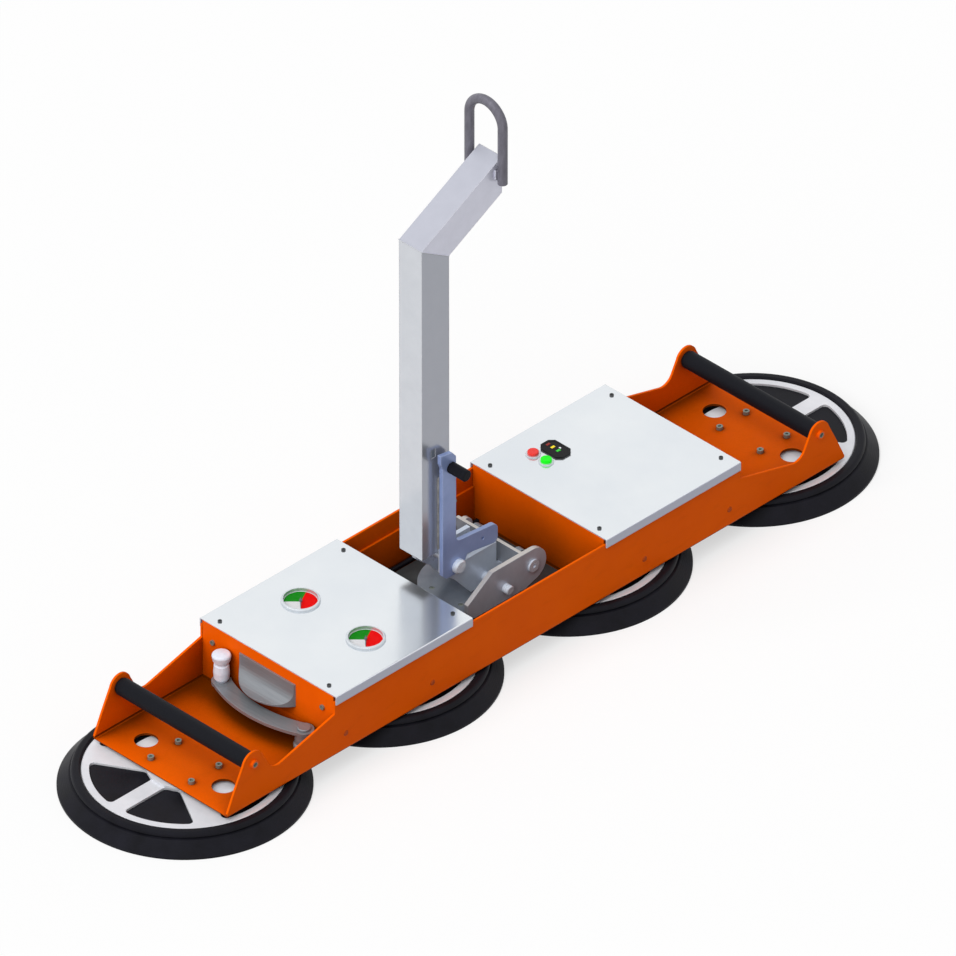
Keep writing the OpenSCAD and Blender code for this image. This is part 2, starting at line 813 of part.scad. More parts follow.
module valve_lever() {
    color(bright)
    difference() {
        union() {
            intersection() {
                translate([bow_x, valve_y, valve_z]) difference() {
                    cylinder(h = valve_t, r = bow_r + valve_w / 2, $fn = 180);
                    translate([0, 0, -1]) cylinder(h = valve_t + 2, r = bow_r - valve_w / 2, $fn = 180);
                }
                translate([valve_x - 60, pivot_y, valve_z])
                    cube([90, 2 * valve_reach, valve_t]);
            }
            for (y = [pivot_y, knob_y])
                translate([valve_x, y, valve_z]) cylinder(h = valve_t, r = valve_end_r);
        }
        translate([valve_x, pivot_y, valve_z - 1])
            cylinder(h = valve_t + 2, r = spindle_d / 2 + run_gap);
        translate([valve_x, knob_y, valve_z - 1])
            cylinder(h = valve_t + 2, r = 4 + thread_gap);
    }
}

module valve_knob() {
    r = knob_d / 2;
    z0 = valve_z + valve_t;
    top = z0 + knob_h;
    color("white") translate([valve_x, knob_y, 0]) rotate_extrude()
        polygon(concat([[0, z0 - valve_t + 1], [4, z0 - valve_t + 1], [4, z0], [9, z0], [12.5, z0 + 6], [13.2, z0 + 18],
            [12, z0 + 30], [10, z0 + 32], [10, z0 + 36], [r - 1.5, z0 + 39]],
            arc([r - 5, top - 6], 5, -20, 60, 6),
            [[r * 0.45, top - 0.6], [0, top]]));
}

// Housing on the floor, spindle and the disc that keeps the lever on it
module valve_block() {
    r = valve_end_r - 1;
    foot_r = valve_out - bulkhead_t / 2 - fit;
    cap_t = 4;
    color(steel) translate([valve_x, pivot_y, 0])
        rotate_extrude() polygon([[0, deck_z], [foot_r, deck_z], [foot_r, deck_z + 5],
            [r, deck_z + 8], [r, valve_z - fit], [spindle_d / 2, valve_z - fit],
            [spindle_d / 2, valve_z + valve_t + fit],
            [spindle_d / 2 + 5, valve_z + valve_t + fit],
            [spindle_d / 2 + 5, valve_z + valve_t + cap_t - 1],
            [spindle_d / 2 + 4, valve_z + valve_t + cap_t], [0, valve_z + valve_t + cap_t]]);
}

// Guard: flat back, hollow curve and a round shelf over the lever
module guard_profile() {
    t = 3;
    back = end_x + bulkhead_t / 2;
    z0 = deck_z + 47;
    bend = 24;
    h = 42;
    polygon(concat(
        [[-back, z0 + h], [-back, z0], [-back - guard_out - 1, z0],
         [-back - guard_out - 1, z0 + t]],
        arc([-back - t - bend, z0 + t + bend], bend, -90, 0, 8),
        [[-back - t, z0 + h]]));
}

module valve_guard() {
    back = end_x + bulkhead_t / 2;
    half = guard_w / 2;
    r = (half * half + guard_out * guard_out) / (2 * guard_out);
    color(steel)
    intersection() {
        along_y(-half, half) guard_profile();
        translate([-back - guard_out + r, 0, deck_z + 40]) cylinder(h = 60, r = r, $fn = 180);
    }
}

// Equipment under the covers, set out from the flanges of the bulkheads
outer_bay = end_x + bulkhead_t / 2 - outer_flange;
tank_r = tank_d / 2;
tank_x = -inner_bay - tank_gap - tank_l / 2;
tank_z = deck_z + tank_r + 2;

module vacuum_tanks() {
    saddle_t = 12;
    saddle_w = tank_d * 0.74;
    // One saddle near the far end, one between the pad screws and the gauge
    saddle_x = [-0.354 * tank_l, 0.104 * tank_l];
    stem_r = 6;
    rc = tank_r * 0.46;
    color(dark)
    for (sy = [-1, 1]) {
        translate([tank_x - tank_l / 2, sy * gauge_y, tank_z]) rotate([0, 90, 0])
            rotate_extrude() polygon(concat([[0, 0]],
                arc([tank_r - rc, rc], rc, -90, 0, 6),
                arc([tank_r - rc, tank_l - rc], rc, 0, 90, 6), [[0, tank_l]]));
        for (x = saddle_x)
            translate([tank_x + x - saddle_t / 2, sy * gauge_y - saddle_w / 2, deck_z])
                cube([saddle_t, saddle_w, tank_r - 10]);
        translate([-gauge_x, sy * gauge_y, tank_z])
            cylinder(h = cover_top - gauge_depth - tank_z, r = stem_r);
    }
}

// Two hoses from the pump bay to the tank bay, between the base plate and the liners
hose_y = (base_w / 2 + inner_w - liner_t) / 2 + 1;
hose_z = deck_z + hose_d / 2 + 0.2;
hose_bend = 2 * hose_d;

module vacuum_hoses() {
    reach = inner_x + inner_flange + 6;
    color(dark)
    for (sy = [-1, 1]) {
        rod_x(sy * hose_y, hose_z, hose_d / 2, -reach, reach);
        for (sx = [-1, 1])
            translate([sx * reach, sy * hose_y, hose_z + hose_bend])
                rotate([90, 0, 0]) rotate([0, 0, sx > 0 ? 270 : 180])
                    rotate_extrude(angle = 90) translate([hose_bend, 0]) circle(r = hose_d / 2);
    }
}

// Battery with the line of its lid and two terminals
module battery() {
    size = [battery_l, battery_w, battery_h];
    pos = [outer_bay - 6.5 - battery_l, -26 - battery_w, deck_z];
    groove = 1.5;
    terminal_r = 6;
    color(dark)
    difference() {
        translate(pos) cube(size);
        translate(pos + [-1, 0, battery_h - 14]) cube([battery_l + 2, groove, groove]);
    }
    color(steel)
    for (x = [20, battery_l - 20])
        translate(pos + [x, battery_w - 18, battery_h - eps]) cylinder(h = 9, r = terminal_r);
}

pump_x = inner_bay + 1.5;
pump_y = -84;
pump_split = pump_x + pump_l;
motor_z = deck_z + mount_h + pump_h / 2 + 1;

// Pump head on a foot plate with four rubber feet, and its port
module pump_head() {
    foot_l = pump_l + motor_l;
    foot_w = pump_w + 8;
    foot_t = 4;
    rubber_r = 6;
    port_r = 5;
    color(steel) {
        translate([pump_x, pump_y - pump_w / 2, deck_z + mount_h]) cube([pump_l, pump_w, pump_h]);
        translate([pump_x, pump_y - foot_w / 2, deck_z + mount_h - foot_t / 2])
            cube([foot_l, foot_w, foot_t]);
        for (x = [12, foot_l - 10], sy = [-1, 1])
            translate([pump_x + x, pump_y + sy * (pump_w / 2 - rubber_r), deck_z])
                cylinder(h = mount_h - 1, r = rubber_r);
        rod_x(pump_y, motor_z + 20, port_r, pump_x - 8, pump_x + 1);
    }
}

// Motor can with eight cooling grooves
module pump_motor() {
    groove = 3;
    color(dark)
    difference() {
        rod_x(pump_y, motor_z, motor_d / 2, pump_split, pump_split + motor_l);
        for (a = [0:45:315])
            translate([pump_split + 14, pump_y, motor_z]) rotate([a, 0, 0])
                translate([0, -groove / 2, motor_d / 2 - groove / 2])
                    cube([motor_l - 28, groove, groove]);
    }
}

// Control box on four posts
module control_box() {
    x0 = inner_bay + 19.5;
    y0 = 24;
    post_r = 4;
    color(steel) {
        translate([x0, y0, deck_z + mount_h]) cube([box_l, box_w, box_h]);
        for (x = [10, box_l - 10], y = [8, box_w - 8])
            translate([x0 + x, y0 + y, deck_z]) cylinder(h = mount_h + eps, r = post_r);
    }
}

// Base plate and slewing ring
base_screw_d = 8;
ring_screw_n = 8;
ring_screw_r = (ring_d / 2 + spigot_d / 2 + 10) / 2;
flange_r = spigot_d / 2 + 7.5;
flange_h = 5;

module at_base_screws() {
    for (sx = [-1, 1], sy = [-1, 1])
        translate([sx * (base_l / 2 - 18), sy * (base_w / 2 - 16), 0]) children();
}

module base_plate() {
    color(steel)
    difference() {
        translate([-base_l / 2, -base_w / 2, deck_z]) cube([base_l, base_w, base_t]);
        at_base_screws() translate([0, 0, deck_z - 1])
            cylinder(h = base_t + 2, r = base_screw_d / 2 + screw_gap);
    }
}

module base_screws() {
    color(steel)
    at_base_screws() translate([0, 0, base_top])
        cap_screw(base_screw_d, base_t + tray_t + 1, 5);
}

module slew_ring() {
    r = spigot_d / 2 + run_gap;
    color([0.35, 0.36, 0.38])
    difference() {
        translate([0, 0, base_top]) cylinder(h = ring_h, r = ring_d / 2);
        translate([0, 0, base_top - 1]) cylinder(h = ring_h + 2, r = r);
        translate([0, 0, base_top - 1]) cylinder(h = flange_h + 2, r = flange_r + fit);
    }
}

// Rotating parts
module turntable() {
    spigot_z = base_top + fit;
    color(steel)
    difference() {
        union() {
            translate([0, 0, disc_z]) cylinder(h = disc_t, r = disc_d / 2);
            translate([0, 0, spigot_z]) cylinder(h = disc_z - spigot_z + eps, r = spigot_d / 2);
            translate([0, 0, spigot_z]) cylinder(h = flange_h, r = flange_r);
            for (sy = [-1, 1]) {
                y0 = min(sy * lug_y, sy * (lug_y + lug_t));
                translate([tilt_x - lug_r, y0, disc_top - eps])
                    cube([2 * lug_r, lug_t, tilt_h + eps]);
                rod_y(tilt_x, tilt_z, lug_r, y0, y0 + lug_t);
            }
        }
        translate([0, 0, spigot_z - 1]) cylinder(h = 60, r = disc_bore_d / 2);
        rod_y(tilt_x, tilt_z, tilt_pin_d / 2 + run_gap, -cheek_y - 5, cheek_y + 5);
        for (k = [0:5]) rotate([0, 0, 30 + k * 60])
            translate([disc_d / 2 - 21, 0, disc_top - 3]) cylinder(h = 5, r = 4.5);
    }
}

// Pin through lugs and cheeks, with a head outside each cheek
module tilt_pin() {
    head_t = 3.5;
    y = cheek_y + fit;
    color(bright)
    difference() {
        union() {
            rod_y(tilt_x, tilt_z, tilt_pin_d / 2, -y - head_t, y + head_t);
            for (y0 = [-y - head_t, y])
                rod_y(tilt_x, tilt_z, tilt_pin_d / 2 + 3, y0, y0 + head_t);
        }
        for (y0 = [-y - head_t - 1, y + head_t - 2])
            rod_y(tilt_x, tilt_z, 3, y0, y0 + 3);
    }
}

// A large near cheek and a short far one, joined by a cross plate
cross_x = tilt_x - lug_r - 1.5 - cross_t;
cheek_top = tilt_z + cheek_r;
cheek_low = disc_top + 5;
bracket_pin_at = [-3, tilt_z - 13];
bracket_pin_r = 8;

module cheek(y0) {
    difference() {
        union() {
            along_y(y0, y0 + cheek_t)
                polygon([[-cheek_back, tilt_z - 7], [cheek_slope - cheek_back, cheek_top],
                    [tilt_x, cheek_top],
                    [tilt_x + cheek_r * sin(14), tilt_z - cheek_r * cos(14)],
                    [tilt_x - 16, cheek_low], [16 - cheek_back, cheek_low],
                    [7 - cheek_back, cheek_low + 4], [-cheek_back, cheek_low + 15]]);
            rod_y(tilt_x, tilt_z, cheek_r, y0, y0 + cheek_t);
        }
        rod_y(tilt_x, tilt_z, tilt_pin_d / 2 + run_gap, y0 - 1, y0 + cheek_t + 1);
        rod_y(bracket_pin_at[0], bracket_pin_at[1], bracket_pin_r + thread_gap,
            y0 - 1, y0 + cheek_t + 1);
    }
}

// Short plate with two round ends, on the pins
module far_cheek(y0) {
    low = bracket_pin_at;
    high = [tilt_x, tilt_z];
    side = far_r / norm(high - low) * [low[1] - high[1], high[0] - low[0]];
    difference() {
        union() {
            rod_y(high[0], high[1], far_r, y0, y0 + cheek_t);
            rod_y(low[0], low[1], far_r, y0, y0 + cheek_t);
            along_y(y0, y0 + cheek_t) polygon([low - side, high - side, high + side, low + side]);
        }
        rod_y(tilt_x, tilt_z, tilt_pin_d / 2 + run_gap, y0 - 1, y0 + cheek_t + 1);
        rod_y(bracket_pin_at[0], bracket_pin_at[1], bracket_pin_r + thread_gap,
            y0 - 1, y0 + cheek_t + 1);
    }
}

module tilt_bracket() {
    yi = cheek_y - cheek_t;
    color(steel) {
        far_cheek(yi);
        cheek(-cheek_y);
        translate([cross_x, -yi - eps, tilt_z - 32])
            cube([cross_t, 2 * yi + 2 * eps, cheek_top - tilt_z + 32]);
    }
}

module bracket_pin() {
    y = cheek_y + pin_out;
    ch = 1.5;
    color(bright)
        translate([bracket_pin_at[0], y, bracket_pin_at[1]]) rotate([90, 0, 0])
            rotate_extrude() polygon([[0, 0], [bracket_pin_r - ch, 0], [bracket_pin_r, ch],
                [bracket_pin_r, 2 * y - ch], [bracket_pin_r - ch, 2 * y], [0, 2 * y]]);
}

// Arm
post_x0 = -post_x;
post_x1 = post_x0 + arm_x;
rise = tan(arm_slope);
arm_top_z = bend_z + (arm_end_x - post_x0) * rise;
arm_v = arm_x / cos(arm_slope);

// Outline of the cranked tube, drawn in by w on both sides
function arm_outline(w, over) =
    let (x0 = post_x0 + w, x1 = post_x1 - w, xe = arm_end_x + over,
         up = bend_z - w / cos(arm_slope), low = bend_z - arm_v + w / cos(arm_slope))
    [[x0, post_z0 - over], [x1, post_z0 - over],
     [x1, low + (x1 - post_x0) * rise], [xe, low + (xe - post_x0) * rise],
     [xe, up + (xe - post_x0) * rise], [x0, up + (x0 - post_x0) * rise]];

module arm_tube() {
    slot_w = 9;
    slot_h = 16;
    color(bright)
    difference() {
        along_y(-arm_y / 2, arm_y / 2) polygon(arm_outline(0, 0));
        difference() {
            along_y(-arm_y / 2 + arm_t, arm_y / 2 - arm_t) polygon(arm_outline(arm_t, 1));
            translate([arm_end_x - arm_t, -arm_y, arm_top_z - 100]) cube([20, 2 * arm_y, 120]);
        }
        translate([-109 - slot_w / 2, -arm_y / 2 - 1, 382 - slot_h / 2])
            cube([slot_w, arm_t + 2, slot_h]);
    }
}

// Foot plates on both sides of the post, with a web between them
lock_x = -72;
lock_z = disc_top + 88;
tongue_x = post_x1 - 2;
tongue_top = post_z0 + tongue_h;
foot_y = arm_y / 2 + foot_t;

module foot_plates() {
    side = [[tongue_x - tongue_w, tongue_top], [tongue_x, tongue_top], [tongue_x, lock_z + 56],
        [-56, lock_z + 12], [-50, lock_z - 6], [foot_reach, lock_z - 6], [foot_reach, tilt_z],
        [cross_x, tilt_z - 6], [cross_x, tilt_z - 28], [-34, tilt_z - 28], [-67, tilt_z + 11],
        [-85, tilt_z + 26], [tongue_x - tongue_w, tilt_z + 38]];
    color(steel)
    difference() {
        union() {
            along_y(-foot_y, -arm_y / 2) polygon(side);
            along_y(arm_y / 2, foot_y) polygon(side);
            translate([-48, -arm_y / 2 - eps, tilt_z + 4])
                cube([6, arm_y + 2 * eps, lock_z - tilt_z - 14]);
        }
        rod_y(bracket_pin_at[0], bracket_pin_at[1], bracket_pin_r + thread_gap,
            -foot_y - 1, foot_y + 1);
        rod_y(lock_x, lock_z, lock_pin_d / 2 + run_gap, -foot_y - 1, foot_y + 1);
    }
}

module stop_screw() {
    color(steel)
    rod_x(-foot_y + foot_t / 2, lock_z + 115, foot_t / 2 - 1, tongue_x, tongue_x + 12);
}

module lifting_eye() {
    x = arm_end_x - eye_inset;
    z0 = arm_top_z - eye_drop;
    r = eye_rod_d / 2;
    gap = eye_y - r - arm_y / 2;
    color([0.4, 0.4, 0.44]) {
        translate([x, 0, z0 + eye_leg]) rotate([90, 0, 90])
            rotate_extrude(angle = 180) translate([eye_y, 0]) circle(r = r);
        for (sy = [-1, 1]) {
            translate([x, sy * eye_y, z0]) cylinder(h = eye_leg, r = r);
            translate([x - 5, min(sy * arm_y / 2, sy * (eye_y - 4)), z0 + 5])
                cube([10, gap + r - 4, arm_v - 50]);
        }
    }
}

// Lock lever
lever_y1 = -foot_y - fit;
lever_y0 = lever_y1 - lever_t;
strip_x0 = lock_x - 32;
strip_x1 = strip_x0 + strip_w;
grip_x = strip_x0 + strip_w / 2 + 3.5;
grip_z = lock_z + grip_h;

module lock_pin() {
    head_t = 9;
    y1 = foot_y + 2;
    color("white")
    rod_y(lock_x, lock_z, lock_pin_d / 2, lever_y0 - fit - eps, y1);
    color("white")
    translate([lock_x, lever_y0 - fit, lock_z]) rotate([90, 0, 0])
        rotate_extrude() polygon([[0, 0], [lock_head_d / 2, 0],
            [lock_head_d / 2, head_t - 3], [lock_head_d / 2 - 3, head_t - 0.6], [0, head_t]]);
}

module lock_lever() {
    z = lock_z;
    toe_x = lock_x + toe_reach;
    tip_r = 9;
    nose_r = 12;
    root_r = 11;
    color([0.50, 0.53, 0.68])
    difference() {
        along_y(lever_y0, lever_y1)
            polygon(concat(
                [[strip_x0, z - 6], [strip_x0 + 8, z - heel_h], [lock_x + 8, z - heel_h],
                 [lock_x + 22, z + 12], [toe_x - tip_r, z + 3]],
                arc([toe_x - tip_r, z + 3 + tip_r], tip_r, -80, 0, 4),
                arc([toe_x - nose_r, z + toe_h - nose_r], nose_r, 0, 85, 5),
                arc([strip_x1 + root_r, z + toe_root + root_r], root_r, 265, 180, 5),
                [[strip_x1, grip_z + 16], [strip_x1 - 8, grip_z + 26], [strip_x0 - 4, grip_z + 30],
                 [strip_x0 - 4, grip_z + 14], [strip_x0, grip_z + 4]]));
        rod_y(lock_x, z, lock_pin_d / 2 + run_gap, lever_y0 - 1, lever_y1 + 1);
        rod_y(grip_x, grip_z, 4 + thread_gap, lever_y0 - 1, lever_y1 + 1);
        rod_y(toe_x - 33, z + 24, 3, lever_y0 - 1, lever_y1 + 1);
    }
}

module lever_grip() {
    r = grip_d / 2;
    y = lever_y0;
    color(dark)
    translate([grip_x, y, grip_z]) rotate([90, 0, 0])
        rotate_extrude() polygon(concat([[0, -lever_t + 1], [4, -lever_t + 1], [4, 0], [r - 1, 0], [r, 1]],
            arc([r - 3, grip_l - 3], 3, 0, 90, 4), [[0, grip_l]]));
}

tray();
bulkhead(-end_x, 1, outer_flange, true);  // bulkhead_left_outer
bulkhead(-inner_x, -1, inner_flange, false);  // bulkhead_left_inner
bulkhead(inner_x, 1, inner_flange, false);  // bulkhead_right_inner
bulkhead(end_x, -1, outer_flange, true);  // bulkhead_right_outer
liner_plates();
base_plate();
slew_ring();
base_screws();
pad_plate(0);  // pad_plate_1
pad_plate(1);  // pad_plate_2
pad_plate(2);  // pad_plate_3
pad_plate(3);  // pad_plate_4
pad_seal(0);  // pad_seal_1
pad_seal(1);  // pad_seal_2
pad_seal(2);  // pad_seal_3
pad_seal(3);  // pad_seal_4
pad_mats();
pad_spacers();
pad_screws();
gauge_cover();
control_cover();
cover_screws();
gauge_case(-1);  // gauge_case_front
gauge_case(1);  // gauge_case_back
gauge_dials();
gauge_lenses();
gauge_needle(-1);  // gauge_needle_front
gauge_needle(1);  // gauge_needle_back
button_sockets();
red_button();
green_button();
battery_display();
display_window();
handle(-1);  // handle_left
handle(1);  // handle_right
handle_screws();
wall_rivets();
bulkhead_screws();
valve_guard();
valve_block();
valve_lever();
valve_knob();
vacuum_tanks();
vacuum_hoses();
battery();
pump_head();
pump_motor();
control_box();
turntable();
tilt_pin();
arm_tube();
foot_plates();
tilt_bracket();
bracket_pin();
lock_pin();
stop_screw();
lifting_eye();
lock_lever();
lever_grip();
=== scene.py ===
# Glass panel lifter: an orange folded tray on four suction pads. A turntable in the middle bay
# carries a tilting arm with a lifting eye. The part gives the main shapes, and this file gives the
# finishes and the fine pieces.
import math

import bmesh
import bpy
from mathutils import Matrix, Vector


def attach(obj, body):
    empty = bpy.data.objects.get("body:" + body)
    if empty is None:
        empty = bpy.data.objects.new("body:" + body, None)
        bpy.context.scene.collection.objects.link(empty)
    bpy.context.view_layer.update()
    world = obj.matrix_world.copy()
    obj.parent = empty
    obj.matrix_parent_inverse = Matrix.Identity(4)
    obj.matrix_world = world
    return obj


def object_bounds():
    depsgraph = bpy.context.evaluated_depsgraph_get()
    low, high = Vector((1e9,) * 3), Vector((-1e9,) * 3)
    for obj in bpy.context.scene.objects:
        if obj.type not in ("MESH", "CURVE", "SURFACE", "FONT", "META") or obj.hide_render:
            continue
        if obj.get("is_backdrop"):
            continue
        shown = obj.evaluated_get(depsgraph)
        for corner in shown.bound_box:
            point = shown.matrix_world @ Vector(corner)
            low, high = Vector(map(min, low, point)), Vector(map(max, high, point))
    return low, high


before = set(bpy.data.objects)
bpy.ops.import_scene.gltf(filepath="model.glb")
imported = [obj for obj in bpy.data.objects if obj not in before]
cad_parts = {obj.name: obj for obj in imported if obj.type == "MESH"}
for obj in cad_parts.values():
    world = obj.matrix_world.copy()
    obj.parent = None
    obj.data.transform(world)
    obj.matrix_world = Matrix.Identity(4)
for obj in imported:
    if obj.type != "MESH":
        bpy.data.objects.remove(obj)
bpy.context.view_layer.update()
scene = bpy.context.scene
scene.view_settings.view_transform = "Standard"

# View
# A drawing's isometric view from the front left and above. The lens is long and the camera far off,
# so the tray's edges stay parallel.
aim = Vector((0.0072, -0.0072, 0.2686))
far_off = 41.51
sight = Vector((-1, -1, 1)).normalized()
lens = bpy.data.cameras.new("view")
lens.lens = 1000
lens.sensor_width = 36
lens.clip_start = 1
lens.clip_end = 200
camera = bpy.data.objects.new("view", lens)
camera.location = aim + far_off * sight
camera.rotation_euler = sight.to_track_quat("Z", "Y").to_euler()
scene.collection.objects.link(camera)
scene.camera = camera

# Studio
# A white room with a soft sky and one large lamp high on the left. The floor is white paper: part of
# its white is lit, which keeps the shadow of the lifter, and the rest is there for the eye alone.


class Wire:
    """One socket of a node tree. Arithmetic on it adds Math nodes."""

    def __init__(self, tree, end=None):
        self.tree = tree
        self.end = end

    def node(self, kind, settings, values, out=0):
        """Adds a node with its settings, then the values or links of its sockets."""
        new = self.tree.nodes.new(kind)
        for name, value in settings.items():
            setattr(new, name, value)
        for name, value in values.items():
            if isinstance(value, Wire):
                self.tree.links.new(value.end, new.inputs[name])
            else:
                new.inputs[name].default_value = value
        return None if out is None else Wire(self.tree, new.outputs[out])

    def of(self, out):
        """Another output of the same node."""
        return Wire(self.tree, self.end.node.outputs[out])

    def maths(self, operation, *values):
        return self.node("ShaderNodeMath", {"operation": operation}, dict(enumerate(values)))

    def __add__(self, other):
        return self.maths("ADD", self, other)

    def __radd__(self, other):
        return self.maths("ADD", other, self)

    def __sub__(self, other):
        return self.maths("SUBTRACT", self, other)

    def __rsub__(self, other):
        return self.maths("SUBTRACT", other, self)

    def __mul__(self, other):
        return self.maths("MULTIPLY", self, other)

    def __rmul__(self, other):
        return self.maths("MULTIPLY", other, self)

    def __truediv__(self, other):
        return self.maths("DIVIDE", self, other)

    def __gt__(self, other):
        return self.maths("GREATER_THAN", self, other)

    def __lt__(self, other):
        return self.maths("LESS_THAN", self, other)

    def sine(self):
        return self.maths("SINE", self)

    def square_root(self):
        return self.maths("SQRT", self)

    def absolute(self):
        return self.maths("ABSOLUTE", self)

    def sign(self):
        return self.maths("SIGN", self)

    def angle_over(self, across):
        """The angle of a point that lies this far up and that far across."""
        return self.maths("ARCTAN2", self, across)

    def fraction(self):
        return self.maths("FRACT", self)

    def most(self, other):
        return self.maths("MAXIMUM", self, other)

    def span(self, low, high, first=0.0, last=1.0):
        """The value's place between low and high, held between first and last."""
        values = {"Value": self, "From Min": low, "From Max": high, "To Min": first, "To Max": last}
        return self.node("ShaderNodeMapRange", {}, values)


def shown(wires):
    """1 for the rays that show a background: from the camera, off a mirror or through glass."""
    ray = wires.node("ShaderNodeLightPath", {}, {}, "Is Camera Ray")
    return ray.most(ray.of("Is Glossy Ray")).most(ray.of("Is Transmission Ray"))


sky_level = 0.3
room = bpy.data.worlds.new("white room")
room.use_nodes = True
scene.world = room
seen = shown(Wire(room.node_tree))
background = room.node_tree.nodes["Background"]
background.inputs["Color"].default_value = (1, 1, 1, 1)
room.node_tree.links.new((sky_level + (1 - sky_level) * seen).end, background.inputs["Strength"])

lamp_data = bpy.data.lights.new("large lamp", "SUN")
lamp_data.energy = 2.7
lamp_data.angle = math.radians(60)
lamp = bpy.data.objects.new("large lamp", lamp_data)
lamp.visible_glossy = False
lamp.rotation_euler = Vector((-0.54, -0.07, 0.69)).to_track_quat("Z", "Y").to_euler()
scene.collection.objects.link(lamp)

paper = bpy.data.materials.new("white paper")
paper.use_nodes = True
sheet = Wire(paper.node_tree)
lit_part = 0.4
matt = sheet.node("ShaderNodeBsdfDiffuse", {}, {"Color": (lit_part, lit_part, lit_part, 1)})
strength = (1 - lit_part) * shown(sheet)
glow = sheet.node("ShaderNodeEmission", {}, {"Color": (1, 1, 1, 1), "Strength": strength})
both = sheet.node("ShaderNodeAddShader", {}, {0: matt, 1: glow})
paper.node_tree.links.new(both.end, paper.node_tree.nodes["Material Output"].inputs["Surface"])

floor_mesh = bpy.data.meshes.new("floor")
floor_half = 8
floor_z = -0.0002
around = ((-1, -1), (1, -1), (1, 1), (-1, 1))
corners = [(sx * floor_half, sy * floor_half, floor_z) for sx, sy in around]
floor_mesh.from_pydata(corners, [], [(0, 1, 2, 3)])
floor_mesh.materials.append(paper)
floor = bpy.data.objects.new("floor", floor_mesh)
scene.collection.objects.link(floor)
floor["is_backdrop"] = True

# Tray, bulkheads and liners
# Four-millimetre sheet, laser cut, folded up at both sides and closed by folded pans. All of it is
# powder coated orange, with the faint peel of such a coat.


def shade(red, green, blue):
    """Linear colour from display values of 0 to 255."""
    parts = [value / 255 for value in (red, green, blue)]
    return (*[p / 12.92 if p < 0.04 else ((p + 0.055) / 1.055) ** 2.4 for p in parts], 1)


class Finish:
    """A material on Object coordinates. What is fixed is the same all over the surface."""

    def __init__(self, name, fixed):
        self.material = bpy.data.materials.new(name)
        self.material.use_nodes = True
        tree = self.material.node_tree
        self.shader = tree.nodes["Principled BSDF"]
        for socket, value in fixed.items():
            self.shader.inputs[socket].default_value = value
        self.root = Wire(tree)
        self.place = self.root.node("ShaderNodeTexCoord", {}, {}, "Object")
        self.x = self.root.node("ShaderNodeSeparateXYZ", {}, {0: self.place})
        self.y = self.x.of("Y")
        self.z = self.x.of("Z")
        self.normal = None

    def feed(self, socket, wire):
        self.root.tree.links.new(wire.end, self.shader.inputs[socket])

    def noise(self, scale, detail=2.0, stretch=None):
        """Soft noise with that many spots to the metre, drawn out where stretch is small."""
        place = self.place
        if stretch:
            place = self.root.node("ShaderNodeMapping", {}, {"Vector": place, "Scale": stretch})
        values = {"Vector": place, "Scale": scale, "Detail": detail, "Roughness": 0.6}
        return self.root.node("ShaderNodeTexNoise", {}, values, "Fac")

    def mix(self, amount, first, second):
        """Colour that goes from first to second as amount goes from 0 to 1."""
        values = {0: amount, 6: first, 7: second}
        return self.root.node("ShaderNodeMix", {"data_type": "RGBA"}, values, 2)

    def ease(self, radius):
        """Rounds the look of the edges and gives the mask of the edges."""
        eased = self.root.node("ShaderNodeBevel", {"samples": 4}, {"Radius": radius}, "Normal")
        flat = self.root.node("ShaderNodeNewGeometry", {}, {}, "Normal")
        dot = {"operation": "DOT_PRODUCT"}
        same = self.root.node("ShaderNodeVectorMath", dot, {0: eased, 1: flat}, "Value")
        self.normal = eased
        return same.span(0.99, 0.8)

    def relief(self, height, depth):
        """Raises the surface by up to depth where height is 1."""
        values = {"Height": height, "Distance": depth, "Strength": 1.0}
        if self.normal:
            values["Normal"] = self.normal
        self.normal = self.root.node("ShaderNodeBump", {}, values, "Normal")
        self.feed("Normal", self.normal)

    def on(self, *nodes):
        for name in nodes:
            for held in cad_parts[name].material_slots:
                held.material = self.material


coat = Finish("orange powder coat", {"Specular IOR Level": 0.05})
edge = coat.ease(0.0012)
cloud = coat.noise(7, 3)
scuff = coat.noise(60, 4, (0.35, 1, 1))
tone = coat.mix(cloud.span(0.3, 0.7), shade(244, 95, 0), shade(252, 102, 0))
tone = coat.mix(scuff.span(0.56, 0.8, 0, 0.2), tone, shade(200, 78, 2))
# An ambient occlusion node paints shade into the nooks between the walls, more on the floor than on the
# walls.
wall_y = 0.1485
floor_top = 0.046
inside = coat.y.absolute() < wall_y
low = coat.z < floor_top
reach = {"Distance": 0.2 + 0.3 * low}
nook_occlusion = coat.root.node("ShaderNodeAmbientOcclusion", {"samples": 16}, reach, "AO")
painted_nook_shade = nook_occlusion.span(0.58 + 0.25 * low, 0.08 + 0.3 * low)
tone = coat.mix(inside * painted_nook_shade, tone, shade(100, 42, 0))
coat.feed("Base Color", coat.mix(edge * 0.3, tone, shade(252, 116, 8)))
coat.feed("Roughness", 0.4 + 0.12 * cloud + 0.1 * scuff)
coat.relief(coat.noise(520, 2), 0.00006)
coat.on("tray", "bulkhead_left_outer", "bulkhead_left_inner", "bulkhead_right_inner",
        "bulkhead_right_outer", "liner_plates")

# The rivets of the side walls are painted over, in a darker orange than the walls.
rivet = Finish("painted rivets", {"Specular IOR Level": 0.2})
rivet_mottle = rivet.noise(700, 3)
rivet.feed("Base Color", rivet.mix(rivet_mottle.span(0.3, 0.7), shade(164, 64, 6), shade(188, 76, 8)))
rivet.feed("Roughness", rivet_mottle.span(0.2, 0.8, 0.4, 0.6))
rivet.relief(rivet_mottle, 0.00004)
rivet.on("wall_rivets")

